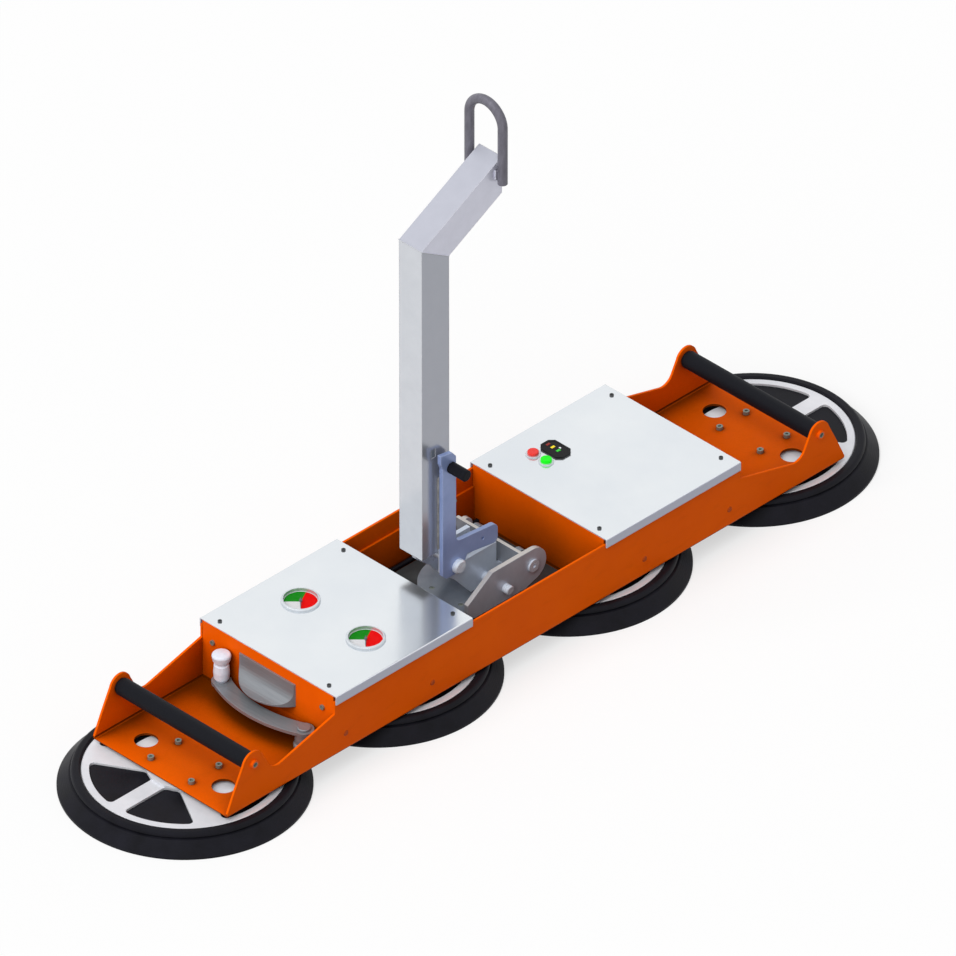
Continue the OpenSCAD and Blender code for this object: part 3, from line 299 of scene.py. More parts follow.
# Screws with bright zinc plating hold the bulkheads, the base plate and the pads.
zinc = Finish("zinc plating", {"Metallic": 0.4, "Specular IOR Level": 0.4})
edge = zinc.ease(0.0004)
grain = zinc.noise(900, 3)
tone = zinc.mix(grain.span(0.3, 0.7), shade(118, 126, 118), shade(150, 158, 150))
zinc.feed("Base Color", zinc.mix(edge * 0.5, tone, shade(206, 212, 206)))
zinc.feed("Roughness", grain.span(0.2, 0.8, 0.26, 0.42))
zinc.relief(grain, 0.00003)
zinc.on("bulkhead_screws", "base_screws", "pad_screws", "stop_screw")

# The screws of the carrying bars are painted with the tray, and bare at the drive in the middle.
painted = Finish("screws painted with the tray", {"Specular IOR Level": 0.2})
handle_x = 0.627
handle_z = 0.1145
drive_r = 0.0045
along = painted.x.absolute() - handle_x
high = painted.z - handle_z
bare = (along * along + high * high).square_root() < drive_r
grain = painted.noise(900, 3)
steel_tone = painted.mix(grain.span(0.3, 0.7), shade(112, 118, 108), shade(144, 150, 140))
paint_tone = painted.mix(grain.span(0.3, 0.7), shade(236, 92, 0), shade(248, 99, 0))
painted.feed("Base Color", painted.mix(bare, paint_tone, steel_tone))
painted.feed("Roughness", grain.span(0.2, 0.8, 0.35, 0.5))
painted.relief(grain, 0.00003)
painted.on("handle_screws")

# Suction pads
# Each is a cast spoked plate in a moulded rubber ring that ends in a soft lip. A rubber mat fills the
# windows of the plate from below. The rubber keeps the rings of its mould.
pad_pitch = 0.42
pad_places = [(i - 1.5) * pad_pitch for i in range(4)]
plate_r = 0.162
plate_low = 0.022
plate_top = 0.032
ring_pitch = 0.0025

rubber = Finish("moulded rubber", {"Specular IOR Level": 0.12})
along = ((rubber.x / pad_pitch).fraction() - 0.5) * pad_pitch
out = (along * along + rubber.y * rubber.y).square_root()
bloom = rubber.noise(25, 4)
fine = rubber.noise(700)
rings = (out * (math.tau / ring_pitch)).sine()
rubber.feed("Base Color", rubber.mix(bloom.span(0.35, 0.75), shade(16, 16, 21), shade(27, 27, 34)))
rubber.feed("Roughness", bloom.span(0.2, 0.8, 0.4, 0.58))
rubber.relief(0.35 * fine + 0.3 * rings, 0.0001)
rubber.on("pad_seal_1", "pad_seal_2", "pad_seal_3", "pad_seal_4", "pad_mats")

cast = Finish("cast aluminium", {"Metallic": 0.2, "Specular IOR Level": 0.45})
edge = cast.ease(0.001)
grit = cast.noise(650, 3)
stain = cast.noise(14, 4)
tone = cast.mix(stain.span(0.3, 0.75), shade(240, 240, 245), shade(220, 222, 228))
cast.feed("Base Color", cast.mix(edge * 0.5, tone, shade(250, 250, 252)))
cast.feed("Roughness", grit.span(0.2, 0.8, 0.38, 0.55))
cast.relief(grit, 0.00008)
cast.on("pad_plate_1", "pad_plate_2", "pad_plate_3", "pad_plate_4", "pad_spacers")


def arc(centre, radius, start, end, steps):
    """Points of an arc, with its angles in degrees."""
    turns = [math.radians(start + (end - start) * i / steps) for i in range(steps + 1)]
    return [(centre[0] + radius * math.cos(a), centre[1] + radius * math.sin(a)) for a in turns]


def window(first, half_1, second, half_2, inner, outer, corner):
    """Outline of the window between the spokes at two angles, of two half widths."""

    def corner_at(side, angle, half, reach):
        """Angle and middle of the rounded corner beside a spoke, at reach from the hub."""
        turn = angle + side * math.degrees(math.asin((half + corner) / reach))
        return turn, (reach * math.cos(math.radians(turn)), reach * math.sin(math.radians(turn)))

    far = outer - corner
    near = inner + corner
    o1, c1 = corner_at(1, first, half_1, far)
    o2, c2 = corner_at(-1, second, half_2, far)
    i2, c3 = corner_at(-1, second, half_2, near)
    i1, c4 = corner_at(1, first, half_1, near)
    return (arc(c1, corner, first - 90, o1, 5) + arc((0, 0), outer, o1, o2, 12)
            + arc(c2, corner, o2, second + 90, 5) + arc(c3, corner, second + 90, i2 + 180, 5)
            + arc((0, 0), inner, i2, i1, 6) + arc(c4, corner, i1 + 180, first + 270, 5))


def prism(shell, outline, low, high, rim):
    """Adds a prism to a bmesh. Its top face is drawn in by rim, so the edge is chamfered."""
    middle = sum((Vector(p) for p in outline), Vector((0, 0))) / len(outline)
    drawn = [Vector(p) + (middle - Vector(p)).normalized() * rim for p in outline]
    levels = [(outline, low), (outline, high - rim), (drawn, high)]
    loops = [[shell.verts.new((p[0], p[1], z)) for p in points] for points, z in levels]
    shell.faces.new(list(reversed(loops[0])))
    for lower, upper in zip(loops, loops[1:]):
        for i in range(len(lower)):
            j = (i + 1) % len(lower)
            shell.faces.new((lower[i], lower[j], upper[j], upper[i]))
    shell.faces.new(loops[-1])


def piece(name, shell, finish, body, smooth=None):
    """Makes an object from a bmesh and lets it ride on a body."""
    bmesh.ops.remove_doubles(shell, verts=shell.verts, dist=1e-6)
    bmesh.ops.recalc_face_normals(shell, faces=shell.faces)
    mesh = bpy.data.meshes.new(name)
    shell.to_mesh(mesh)
    shell.free()
    mesh.materials.append(finish.material)
    if smooth:
        mesh.shade_smooth()
        mesh.set_sharp_from_angle(angle=math.radians(smooth))
    made = bpy.data.objects.new(name, mesh)
    scene.collection.objects.link(made)
    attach(made, body)


# The mat fills each of the six windows of a plate with a panel, set in by a thin joint all round.
joint = 0.0004
half_spokes = [0.0145, 0.0225, 0.0225]
window_in = [0.059, 0.1, 0.059, 0.059, 0.1, 0.059]
window_out = plate_r - 0.013
corner_r = 0.008
panel_top = plate_top - 0.003
panels = bmesh.new()
for x in pad_places:
    for k in range(6):
        shape = window(k * 60, half_spokes[k % 3] + joint, k * 60 + 60, half_spokes[(k + 1) % 3] + joint,
                       window_in[k] + joint, window_out - joint, corner_r)
        prism(panels, [(x + px, py) for px, py in shape], plate_low, panel_top, 0.001)
piece("window_panels", panels, rubber, "frame", 30)


class Plan:
    """A Geometry Nodes tree with named sizes. It starts from spots, or from paths of joined points."""

    def __init__(self, name, sizes):
        self.name = name
        self.sizes = sizes
        self.tree = bpy.data.node_groups.new(name, "GeometryNodeTree")
        sockets = self.tree.interface
        sockets.new_socket("Start", in_out="INPUT", socket_type="NodeSocketGeometry")
        for size in sizes:
            sockets.new_socket(size, in_out="INPUT", socket_type="NodeSocketFloat")
        sockets.new_socket("Made", in_out="OUTPUT", socket_type="NodeSocketGeometry")
        self.start = Wire(self.tree).node("NodeGroupInput", {}, {}, "Start")

    def size(self, name):
        return self.start.of(name)

    def make(self, shape, points, joints, finish, body):
        """Runs the tree on the points and keeps what it makes as a plain mesh."""
        real = shape.node("GeometryNodeRealizeInstances", {}, {"Geometry": shape})
        done = real.node("GeometryNodeSetMaterial", {}, {"Geometry": real, "Material": finish.material})
        done.node("NodeGroupOutput", {}, {"Made": done}, None)
        mesh = bpy.data.meshes.new(self.name)
        mesh.from_pydata([Vector(p) / 1000 for p in points], joints, [])
        made = bpy.data.objects.new(self.name, mesh)
        scene.collection.objects.link(made)
        step = made.modifiers.new("plan", "NODES")
        step.node_group = self.tree
        for socket in self.tree.interface.items_tree:
            if socket.in_out == "INPUT" and socket.name in self.sizes:
                step[socket.identifier] = self.sizes[socket.name]
        ready = made.evaluated_get(bpy.context.evaluated_depsgraph_get())
        plain = bpy.data.meshes.new_from_object(ready)
        made.modifiers.clear()
        made.data = plain
        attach(made, body)


def turned_mesh(name, profile, sides=32):
    """A turned shape about the Z axis from its profile of radius and height in millimetres."""
    shell = bmesh.new()
    loops = []
    for radius, height in profile:
        ring = [(radius * math.cos(math.tau * i / sides), radius * math.sin(math.tau * i / sides))
                for i in range(sides)]
        loops.append([shell.verts.new((px / 1000, py / 1000, height / 1000)) for px, py in ring])
    for lower, upper in zip(loops, loops[1:]):
        for i in range(sides):
            j = (i + 1) % sides
            shell.faces.new((lower[i], lower[j], upper[j], upper[i]))
    bmesh.ops.remove_doubles(shell, verts=shell.verts, dist=1e-6)
    bmesh.ops.recalc_face_normals(shell, faces=shell.faces)
    mesh = bpy.data.meshes.new(name)
    shell.to_mesh(mesh)
    shell.free()
    mesh.shade_smooth()
    mesh.set_sharp_from_angle(angle=math.radians(35))
    return bpy.data.objects.new(name, mesh)


def set_at(name, spots, pattern, finish, body, scale=1.0):
    """Sets a copy of the pattern at each spot, given in millimetres."""
    plan = Plan(name, {"Scale": scale})
    held = plan.start.node("GeometryNodeObjectInfo", {}, {"Object": pattern}, "Geometry")
    values = {"Points": plan.start, "Instance": held, "Scale": plan.size("Scale")}
    copies = plan.start.node("GeometryNodeInstanceOnPoints", {}, values)
    plan.make(copies, spots, [], finish, body)


# A turned strainer sits in the port of each pad, under the plate.
strainer_profile = [(2.2, 17.5), (2.2, 21), (3.4, 21), (3.4, 19), (6.2, 19), (6.2, 21), (7.6, 21),
                    (7.6, 16.6), (7, 16.2), (5.4, 16.2), (5, 17.5), (2.2, 17.5)]
strainer = turned_mesh("strainer", strainer_profile)
set_at("port_strainers", [(x * 1000, 0, 0) for x in pad_places], strainer, zinc, "frame")

# Base plate, slewing ring and turntable
# The ring runs in grease on a steel base plate, and both are dark with oil. Six socket screws hold the
# turntable's plain disc to the ring, and the two lugs are welded to the disc.
steel = Finish("plain steel", {"Metallic": 0.3, "Specular IOR Level": 0.45})
edge = steel.ease(0.0008)
mill = steel.noise(16, 5, (1, 1, 0.5))
fine = steel.noise(420, 3)
tone = steel.mix(mill.span(0.3, 0.72), shade(112, 120, 130), shade(142, 150, 160))
# The edges are painted pale: a painted highlight.
steel.feed("Base Color", steel.mix(edge * 0.9, tone, shade(216, 224, 234)))
steel.feed("Roughness", mill.span(0.2, 0.8, 0.3, 0.48))
steel.relief(0.5 * fine + 0.5 * mill, 0.00005)
steel.on("turntable")

oiled = Finish("oiled base plate", {"Metallic": 0.3, "Specular IOR Level": 0.4})
edge = oiled.ease(0.0008)
film = oiled.noise(20, 5)
tone = oiled.mix(film.span(0.3, 0.72), shade(50, 56, 58), shade(78, 86, 88))
oiled.feed("Base Color", oiled.mix(edge * 0.6, tone, shade(170, 172, 170)))
oiled.feed("Roughness", film.span(0.2, 0.8, 0.28, 0.5))
oiled.relief(film, 0.00005)
oiled.on("base_plate", "slew_ring")

bead = Finish("weld bead", {"Metallic": 0.4, "Specular IOR Level": 0.5})
heat = bead.noise(90, 3)
bead.feed("Base Color", bead.mix(heat.span(0.3, 0.7), shade(136, 134, 132), shade(176, 172, 168)))
bead.feed("Roughness", heat.span(0.2, 0.8, 0.3, 0.5))
bead.relief(bead.noise(500), 0.00008)


def weld(name, paths, radius, body, finish=bead):
    """A rippled bead along each path of points in millimetres. One that ends at its start is closed."""
    points = []
    joints = []
    for path in paths:
        closed = path[0] == path[-1]
        run = path[:-1] if closed else path
        first = len(points)
        points += run
        joints += [(first + i, first + i + 1) for i in range(len(run) - 1)]
        if closed:
            joints.append((first + len(run) - 1, first))
    plan = Plan(name, {"Radius": radius / 1000, "Ripple": 0.0034, "Step": 0.0008})
    line = plan.start.node("GeometryNodeMeshToCurve", {}, {"Mesh": plan.start})
    values = {"Curve": line, "Length": plan.size("Step")}
    even = line.node("GeometryNodeResampleCurve", {"mode": "LENGTH"}, values)
    values = {"Resolution": 8, "Radius": plan.size("Radius")}
    round_end = line.node("GeometryNodeCurvePrimitiveCircle", {}, values)
    run = line.node("GeometryNodeSplineParameter", {}, {}, "Length")
    swell = 1 + 0.13 * (run / plan.size("Ripple") * math.tau).sine()
    values = {"Curve": even, "Profile Curve": round_end, "Scale": swell, "Fill Caps": True}
    solid = line.node("GeometryNodeCurveToMesh", {}, values)
    smooth = solid.node("GeometryNodeSetShadeSmooth", {}, {"Geometry": solid})
    plan.make(smooth, points, joints, finish, body)


disc_top = 70
lug_low = 42.5
lug_high = 72.5
lug_inner = 40
lug_outer = 52
lug_loops = []
for side in (-1, 1):
    near = side * lug_inner
    far = side * lug_outer
    loop = [(lug_low, near), (lug_high, near), (lug_high, far), (lug_low, far), (lug_low, near)]
    lug_loops.append([(x, y, disc_top) for x, y in loop])
weld("lug_welds", lug_loops, 2.4, "turntable")

screw_profile = [(0, 0.8), (1.9, 1.2), (2.2, 2.4), (3.6, 2.4), (4.0, 2.0), (4.0, 0), (0, 0)]
socket_screw = turned_mesh("socket screw", screw_profile, 24)
screw_circle = 64
screw_seat = 66.9
disc_spots = []
for k in range(6):
    turn = math.radians(30 + 60 * k)
    disc_spots.append((screw_circle * math.cos(turn), screw_circle * math.sin(turn), screw_seat))
set_at("disc_screws", disc_spots, socket_screw, zinc, "turntable")

# Tilt bracket, foot plates and pins
# Plates cut from plain steel, with a cross plate welded between the cheeks. The foot plates are
# coated pale and welded to the sides of the post. The pins are turned and plated.
foot = Finish("zinc flake on the foot plates", {"Metallic": 0.2, "Specular IOR Level": 0.5})
edge = foot.ease(0.0008)
flake = foot.noise(30, 4)
tone = foot.mix(flake.span(0.3, 0.7), shade(212, 222, 240), shade(226, 236, 250))
foot.feed("Base Color", foot.mix(edge * 0.6, tone, shade(246, 246, 250)))
foot.feed("Roughness", flake.span(0.2, 0.8, 0.24, 0.4))
foot.relief(flake, 0.00005)
foot.on("foot_plates")

cut = Finish("laser-cut bracket plate", {"Metallic": 0.25, "Specular IOR Level": 0.4})
edge = cut.ease(0.0009)
mill = cut.noise(18, 5, (1, 1, 0.5))
tone = cut.mix(mill.span(0.3, 0.72), shade(130, 134, 141), shade(158, 162, 170))
# The faces toward the near side are painted paler, and so are the cut edges that face up: painted light.
normal = cut.root.node("ShaderNodeTexCoord", {}, {}, "Normal")
facing = cut.root.node("ShaderNodeSeparateXYZ", {}, {0: normal})
painted_light_near_side = facing.of("Y") < -0.7
painted_light_upward = facing.of("Z").span(0.62, 1)
painted_light_tone = cut.mix(mill.span(0.3, 0.72), shade(184, 189, 201), shade(206, 211, 222))
tone = cut.mix(painted_light_near_side, tone, painted_light_tone)
tone = cut.mix(painted_light_upward, tone, shade(206, 200, 195))
# The edges are painted pale: a painted highlight.
cut.feed("Base Color", cut.mix(edge * 0.9, tone, shade(226, 228, 234)))
cut.feed("Roughness", mill.span(0.2, 0.8, 0.3, 0.48))
cut.relief(mill, 0.00004)
cut.on("tilt_bracket")

turned = Finish("turned and plated pins", {"Metallic": 0.25, "Specular IOR Level": 0.5})
edge = turned.ease(0.0005)
lathe = turned.noise(60, 2, (1, 12, 1))
turned.feed("Base Color", turned.mix(lathe.span(0.3, 0.7), shade(232, 240, 252), shade(220, 229, 242)))
turned.feed("Roughness", lathe.span(0.2, 0.8, 0.22, 0.34))
turned.relief(lathe, 0.00003)
turned.on("tilt_pin", "bracket_pin", "lock_pin")

# The beads of the cross plate are shorter at the far cheek, which is short itself. Those of the foot
# plates turn the corner at the top.
cheek_y = 69.6
plate_faces = (34.7, 41.3)
near_bead = (82, 140)
far_bead = (98, 126)
cross_welds = []
for y, heights in ((-cheek_y, near_bead), (cheek_y, far_bead)):
    for x in plate_faces:
        cross_welds.append([(x, y, z) for z in heights])
weld("cross_welds", cross_welds, 2.2, "arm")

foot_y = 25.6
foot_path = [(-98.6, 196), (-98.6, 328), (-97.6, 329.6), (-77, 329.6)]
foot_welds = [[(x, y, z) for x, z in foot_path] for y in (-foot_y, foot_y)]
weld("foot_welds", foot_welds, 2.2, "arm")

# Arm
# A rectangular steel tube, cut and welded at the crank and plated. Below the crank it is bright and
# mirrors what is around it, and above it the plating is rougher. On the post the flanks are painted darker
# than the front, as painted shade, and above the crank they are painted paler than the top, as painted
# light.
plated = Finish("plated arm tube", {"Specular IOR Level": 0.5})
edge = plated.ease(0.002)
spangle = plated.noise(34, 4)
drawn = plated.noise(50, 3, (6, 6, 0.2))

# The upper part starts at the slanted plane of the crank's cut. The two flanks get tones of their own:
# painted shade on the post and painted light above the crank.
crank_slope = 0.6
crank_z = 0.6957
side_y = 0.0247
upper = (plated.z + crank_slope * plated.x) > crank_z
painted_flank = plated.y.absolute() > side_y
post_shaded_flank_tone = plated.mix(painted_flank, shade(213, 216, 222), shade(172, 175, 184))
upper_lit_flank_tone = plated.mix(painted_flank, shade(192, 194, 206), shade(228, 229, 243))
tone = plated.mix(upper, post_shaded_flank_tone, upper_lit_flank_tone)
tone = plated.mix(spangle.span(0.35, 0.75, 0, 0.12), tone, shade(150, 154, 164))
# The edges are painted pale: a painted highlight along the ridges.
plated.feed("Base Color", plated.mix(edge * 0.6, tone, shade(238, 240, 244)))
plated.feed("Metallic", 0.5 - 0.15 * upper)
plated.feed("Roughness", 0.13 + 0.25 * upper + 0.06 * spangle + 0.06 * drawn)
plated.relief(0.6 * drawn + 0.4 * spangle, 0.00004)
plated.on("arm_tube")

# A fine bead runs all round the tube at the crank.
crank_y = 25.2
crank_back = (-134.2, 776.1)
crank_front = (-73.8, 740.1)
crank = [(x, -crank_y, z) for x, z in (crank_back, crank_front)]
crank += [(x, crank_y, z) for x, z in (crank_front, crank_back)]
weld("crank_weld", [crank + crank[:1]], 0.9, "arm", plated)

# A small steel catch stands on the post behind the lock lever.
catch_middle = (-0.109, -0.0236, 0.382)
catch_size = (0.0086, 0.0016, 0.0156)
catch_place = Matrix.Translation(catch_middle) @ Matrix.Diagonal((*catch_size, 1))
catch = bmesh.new()
bmesh.ops.create_cube(catch, size=1, matrix=catch_place)
bmesh.ops.bevel(catch, geom=catch.edges[:], offset=0.0003, segments=2, affect="EDGES")
piece("lever_catch", catch, steel, "arm", 40)

# Lifting eye
# Dark drawn rod, bent to a bow and welded to both sides of the arm. The hook or shackle of the hoist
# goes through it.
rod = Finish("dark drawn rod", {"Metallic": 0.2, "Specular IOR Level": 0.3})
scale = rod.noise(120, 4, (1, 1, 0.3))
rod.feed("Base Color", rod.mix(scale.span(0.3, 0.7), shade(100, 98, 108), shade(125, 123, 134)))
rod.feed("Roughness", scale.span(0.2, 0.8, 0.28, 0.46))
rod.relief(scale, 0.00006)
rod.on("lifting_eye")

# The rod has a bead before it and one behind it on each side of the arm.
rod_x = 32
rod_y = 25.8
bead_low = 836
bead_high = 852
eye_welds = []
for dx in (-5.4, 5.4):
    for y in (-rod_y, rod_y):
        eye_welds.append([(rod_x + dx, y, z) for z in (bead_low, bead_high)])
weld("eye_welds", eye_welds, 1.8, "arm", plated)

# Lock lever
# Laser-cut plate with a blue-grey finish, and a foam rubber grip on a stud. It is pulled by hand
# against its spring to free the arm.
blued = Finish("blue-grey lever", {"Metallic": 0.2, "Specular IOR Level": 0.5})
edge = blued.ease(0.0014)
tint = blued.noise(22, 4)
tone = blued.mix(tint.span(0.3, 0.7), shade(136, 155, 204), shade(154, 172, 218))
blued.feed("Base Color", blued.mix(edge * 0.7, tone, shade(210, 222, 246)))
blued.feed("Roughness", tint.span(0.2, 0.8, 0.28, 0.42))
blued.relief(tint, 0.00004)
blued.on("lock_lever")

grip = Finish("foam rubber grip", {"Specular IOR Level": 0.12})
cell = grip.noise(1300, 3)
grip.feed("Base Color", grip.mix(cell.span(0.3, 0.7), shade(14, 15, 19), shade(25, 26, 32)))
grip.feed("Roughness", cell.span(0.2, 0.8, 0.5, 0.7))
grip.relief(cell, 0.00018)
grip.on("lever_grip")

# Covers
# Two-millimetre stainless sheet, folded down over the walls and lightly brushed. The flat top mirrors more
# than the folded sides, which are painted darker: painted shade. Dark socket screws hold it to the
# bulkheads.
satin = Finish("satin stainless cover", {"Specular IOR Level": 0.5})
fold_z = 0.1497
top_z = 0.1507
flat_top = satin.z.span(fold_z, top_z)
edge = satin.ease(0.0012)
brushed = satin.noise(900, 3, (0.02, 1, 1))
haze = satin.noise(6, 3)
tone = satin.mix(haze.span(0.3, 0.7), shade(226, 231, 236), shade(234, 238, 241))
# The folded sides are painted darker than the top: painted shade.
tone = satin.mix(flat_top, shade(192, 195, 212), tone)
satin.feed("Base Color", satin.mix(edge * 0.5, tone, shade(250, 251, 252)))
satin.feed("Metallic", 0.06 + 0.84 * flat_top)
satin.feed("Roughness", 0.15 + 0.05 * haze + 0.02 * brushed)
satin.relief(brushed, 0.0000015)
satin.on("gauge_cover", "control_cover")

black_steel = Finish("blackened screws", {"Metallic": 0.4, "Specular IOR Level": 0.4})
fleck = black_steel.noise(800)
black_steel.feed("Base Color", black_steel.mix(fleck.span(0.3, 0.7), shade(48, 50, 52), shade(86, 88, 90)))
black_steel.feed("Roughness", fleck.span(0.2, 0.8, 0.3, 0.5))
black_steel.on("cover_screws")

# Vacuum gauges
# A polished case, a printed dial with a green and a red sector, a grey needle and a clear lens. There
# is one gauge for each tank.
gauge_x = -0.305
gauge_y = 0.072
printed_r = 0.0268
red_start = -135
green_start = 27
green_end = 135

chrome = Finish("polished bezel", {"Metallic": 0.5, "Specular IOR Level": 0.5})
polish = chrome.noise(60, 3)
chrome.feed("Base Color", chrome.mix(polish.span(0.3, 0.7), shade(206, 212, 218), shade(220, 225, 231)))
chrome.feed("Roughness", polish.span(0.2, 0.8, 0.18, 0.3))
chrome.on("gauge_case_front", "gauge_case_back", "button_sockets")

dial = Finish("printed dial", {"Specular IOR Level": 0.1, "Roughness": 0.5})
across = dial.x - gauge_x
up = dial.y - gauge_y * dial.y.sign()
turn = up.angle_over(across)
out = (across * across + up * up).square_root()
printed = out < printed_r
green_part = printed * (turn > math.radians(green_start)) * (turn < math.radians(green_end))
red_part = printed * (turn > math.radians(red_start)) * (turn < math.radians(green_start))
grain = dial.noise(1500)
tone = dial.mix(grain.span(0.3, 0.7), shade(244, 244, 246), shade(236, 236, 240))
tone = dial.mix(green_part, tone, shade(18, 142, 20))
dial.feed("Base Color", dial.mix(red_part, tone, shade(250, 0, 0)))
dial.on("gauge_dials")

ink = Finish("black ink", {"Specular IOR Level": 0.3})
matt = ink.noise(1200)
ink.feed("Base Color", ink.mix(matt.span(0.3, 0.7), shade(18, 18, 20), shade(34, 34, 36)))
ink.feed("Roughness", matt.span(0.2, 0.8, 0.45, 0.6))

pointer = Finish("grey needle", {"Metallic": 0.2, "Specular IOR Level": 0.3})
filed = pointer.noise(1200)
pointer.feed("Base Color", pointer.mix(filed.span(0.3, 0.7), shade(96, 98, 102), shade(120, 122, 126)))
pointer.feed("Roughness", filed.span(0.2, 0.8, 0.35, 0.5))
pointer.on("gauge_needle_front", "gauge_needle_back")

# Each dial has 28 ticks of black ink, ten degrees apart, and each tick points to the dial's middle.
tick_r = 25.3
tick_z = 149.05
ticks = []
for side in (-1, 1):
    for k in range(28):
        turn = math.radians(red_start + 10 * k)
        x = gauge_x * 1000 + tick_r * math.cos(turn)
        y = side * gauge_y * 1000 + tick_r * math.sin(turn)
        ticks.append((x, y, tick_z))
plan = Plan("dial_ticks", {"Length": 0.0026, "Width": 0.0004, "Height": 0.0002})
spot = plan.start.node("GeometryNodeInputPosition", {}, {})
spot_x = plan.start.node("ShaderNodeSeparateXYZ", {}, {0: spot})
spot_y = spot_x.of("Y")
spot_up = spot_y - gauge_y * spot_y.sign()
angle = spot_up.angle_over(spot_x - gauge_x)
inward = plan.start.node("ShaderNodeCombineXYZ", {}, {"Z": angle})
values = {"X": plan.size("Length"), "Y": plan.size("Width"), "Z": plan.size("Height")}
size = plan.start.node("ShaderNodeCombineXYZ", {}, values)
tick = plan.start.node("GeometryNodeMeshCube", {}, {"Size": size})
values = {"Points": plan.start, "Instance": tick, "Rotation": inward}
scale_ticks = plan.start.node("GeometryNodeInstanceOnPoints", {}, values)
plan.make(scale_ticks, ticks, [], ink, "frame")

glass = Finish("clear lens", {"Specular IOR Level": 0.1, "Alpha": 0.04})
smear = glass.noise(40, 3)
glass.feed("Base Color", glass.mix(smear.span(0.3, 0.7), shade(24, 26, 28), shade(34, 36, 38)))
glass.feed("Roughness", smear.span(0.2, 0.8, 0.03, 0.1))
glass.on("gauge_lenses")

# Push buttons and battery display
# Moulded caps in polished collars, and a flat black display. The green cap is lit, and so are the
# bars on the display.
red = Finish("red cap", {"Specular IOR Level": 0.35})
mould = red.noise(500)
red.feed("Base Color", red.mix(mould.span(0.3, 0.7), shade(246, 50, 44), shade(252, 66, 58)))
red.feed("Roughness", mould.span(0.2, 0.8, 0.25, 0.4))
red.on("red_button")

lit_green = {"Specular IOR Level": 0.3, "Emission Color": shade(0, 235, 0), "Emission Strength": 0.35}
green = Finish("lit green cap", lit_green)
mould = green.noise(500)
green.feed("Base Color", green.mix(mould.span(0.3, 0.7), shade(0, 214, 10), shade(10, 232, 20)))
green.feed("Roughness", mould.span(0.2, 0.8, 0.25, 0.4))
green.on("green_button")

black = Finish("black display", {"Specular IOR Level": 0.15})
mould = black.noise(700)
black.feed("Base Color", black.mix(mould.span(0.3, 0.7), shade(6, 6, 8), shade(14, 14, 17)))
black.feed("Roughness", mould.span(0.2, 0.8, 0.25, 0.42))
black.on("battery_display", "display_window")

# Each bar has its place from the middle of the display, its half length and half width, and a colour.
display_x = 265
display_y = 78
bar_low = 0.15382
bar_top = 0.15425
bars = [("amber_bar", 0, 6, 3.8, 2.2, (236, 214, 30)),
        ("green_bar", -0.6, -6.7, 3.8, 2.2, (40, 190, 40)),
        ("white_bar", 6.4, -3.6, 1.2, 1.8, (235, 235, 240)),
        ("red_bar", 0, 16.5, 3.8, 2.2, (120, 22, 16))]
for name, dx, dy, half_l, half_w, colour in bars:
    full = shade(*colour)
    pale = shade(*[min(255, c + 16) for c in colour])
    lit = Finish(name, {"Specular IOR Level": 0.3, "Emission Color": full, "Emission Strength": 0.25})
    dots = lit.noise(900)
    lit.feed("Base Color", lit.mix(dots.span(0.3, 0.7), full, pale))
    lit.feed("Roughness", dots.span(0.2, 0.8, 0.3, 0.45))
    x = display_x + dx
    y = display_y + dy
    outline = [(x + sx * half_l, y + sy * half_w) for sx, sy in around]
    shell = bmesh.new()
    prism(shell, [(px / 1000, py / 1000) for px, py in outline], bar_low, bar_top, 0.0002)
    piece(name, shell, lit, "frame")

# Carrying handles
# Bars sheathed in foam rubber stand between the ears of the tray. A screw through each ear holds
# them.
grip.on("handle_left", "handle_right")

# Release valve
# A bent guard plate over a curved stainless lever, with a turned white knob. The lever swings out to
# let air into the pads.
brushed_steel = Finish("satin valve steel", {"Metallic": 0.45, "Specular IOR Level": 0.4})
edge = brushed_steel.ease(0.0008)
lines = brushed_steel.noise(300, 3, (1, 0.05, 1))
tone = brushed_steel.mix(lines.span(0.3, 0.7), shade(136, 140, 145), shade(148, 152, 157))
brushed_steel.feed("Base Color", brushed_steel.mix(edge * 0.5, tone, shade(196, 200, 206)))
brushed_steel.feed("Roughness", lines.span(0.2, 0.8, 0.32, 0.4))
brushed_steel.relief(lines, 0.000008)
brushed_steel.on("valve_guard", "valve_block", "valve_lever")

white = Finish("white knob", {"Specular IOR Level": 0.4})
mould = white.noise(300)
white.feed("Base Color", white.mix(mould.span(0.3, 0.7), shade(222, 228, 242), shade(232, 238, 250)))
white.feed("Roughness", mould.span(0.2, 0.8, 0.25, 0.38))
white.on("valve_knob")

# Equipment under the covers
# Two black tanks under the gauge cover, with a bead round each end. Under the control cover a battery
# held by its strap, a pump with its motor, and a control box with a screwed lid.
enamel = Finish("black tank enamel", {"Specular IOR Level": 0.4})
skin = enamel.noise(500, 3)
enamel.feed("Base Color", enamel.mix(skin.span(0.3, 0.7), shade(34, 35, 38), shade(52, 53, 57)))
enamel.feed("Roughness", skin.span(0.2, 0.8, 0.3, 0.5))
enamel.relief(skin, 0.00006)
enamel.on("vacuum_tanks", "pump_motor")

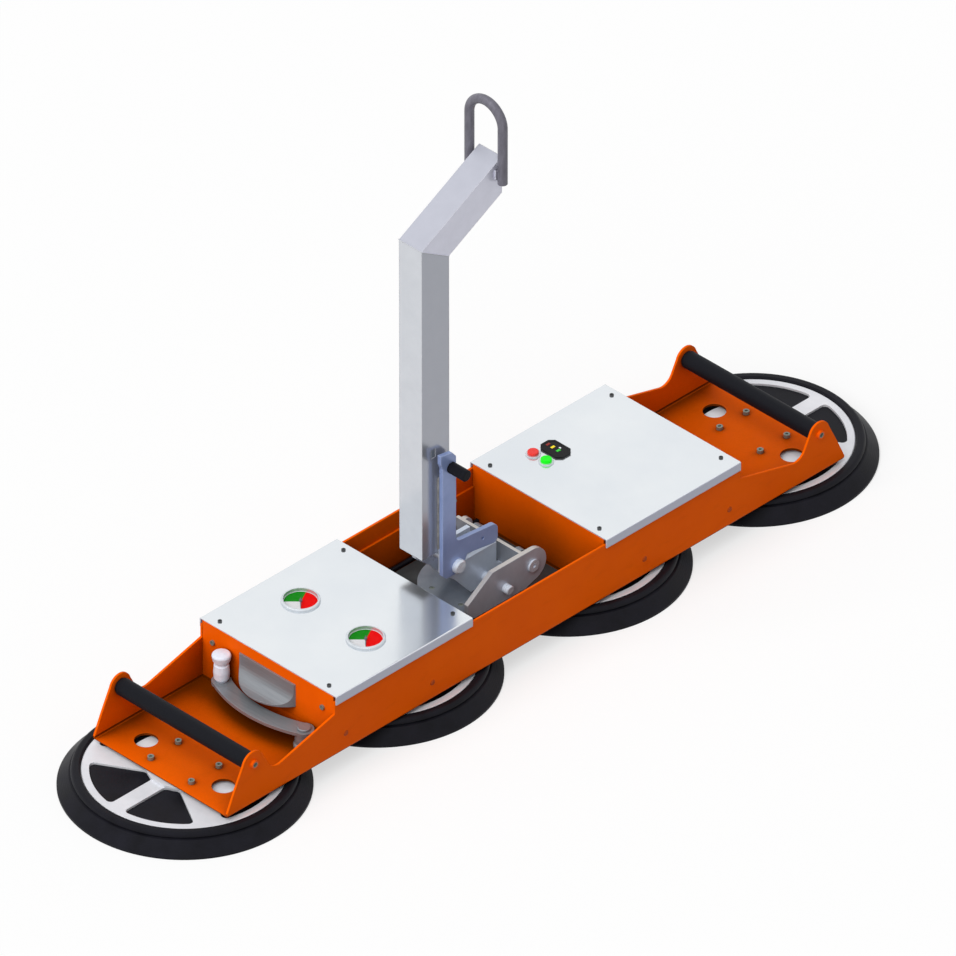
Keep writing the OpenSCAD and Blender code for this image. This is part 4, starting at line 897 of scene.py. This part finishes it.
tank_y = 72
tank_z = 78
tank_ends = (-403, -197)
seam_r = 35.1
seams = []
for side in (-1, 1):
    ring = arc((side * tank_y, tank_z), seam_r, 0, 350, 35)
    for x in tank_ends:
        seams.append([(x, y, z) for y, z in ring + ring[:1]])
weld("tank_seams", seams, 1.2, "frame", enamel)
rubber.on("vacuum_hoses")

case = Finish("grey equipment cases", {"Specular IOR Level": 0.35})
skin = case.noise(400, 3)
case.feed("Base Color", case.mix(skin.span(0.3, 0.7), shade(86, 88, 92), shade(108, 110, 114)))
case.feed("Roughness", skin.span(0.2, 0.8, 0.4, 0.6))
case.relief(skin, 0.0001)
case.on("battery", "pump_head", "control_box")

# The lid of the control box, with a screw at each corner.
lid_low = 0.0971
lid_top = 0.1
lid_outline = [(0.188, 0.022), (0.288, 0.022), (0.288, 0.130), (0.188, 0.130)]
lid = bmesh.new()
prism(lid, lid_outline, lid_low, lid_top, 0.0006)
piece("box_lid", lid, case, "frame")
lid_spots = [(x, y, lid_top * 1000) for x in (193, 283) for y in (27, 125)]
set_at("lid_screws", lid_spots, socket_screw, zinc, "frame", 0.7)

# The strap of the battery goes up one side, over the top and down the other.
strap_edges = (0.344, 0.368)
strap_inner = [(-122.6, 41.2), (-122.6, 113.6), (-25.4, 113.6), (-25.4, 41.2)]
strap_outer = [(-124.2, 41.2), (-124.2, 115.2), (-23.8, 115.2), (-23.8, 41.2)]
strap = bmesh.new()
for x in strap_edges:
    for y, z in strap_inner + strap_outer:
        strap.verts.new((x, y / 1000, z / 1000))
strap.verts.ensure_lookup_table()
v = strap.verts
for i in range(3):
    strap.faces.new((v[i], v[i + 1], v[i + 5], v[i + 4]))
    strap.faces.new((v[i + 8], v[i + 12], v[i + 13], v[i + 9]))
    strap.faces.new((v[i], v[i + 8], v[i + 9], v[i + 1]))
    strap.faces.new((v[i + 4], v[i + 5], v[i + 13], v[i + 12]))
strap.faces.new((v[0], v[4], v[12], v[8]))
strap.faces.new((v[3], v[11], v[15], v[7]))
piece("battery_strap", strap, grip, "frame")

# The two patterns that were copied are no pieces of the lifter.
for pattern in (strainer, socket_screw):
    bpy.data.objects.remove(pattern)

# Bounds of the dressed model
low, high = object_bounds()
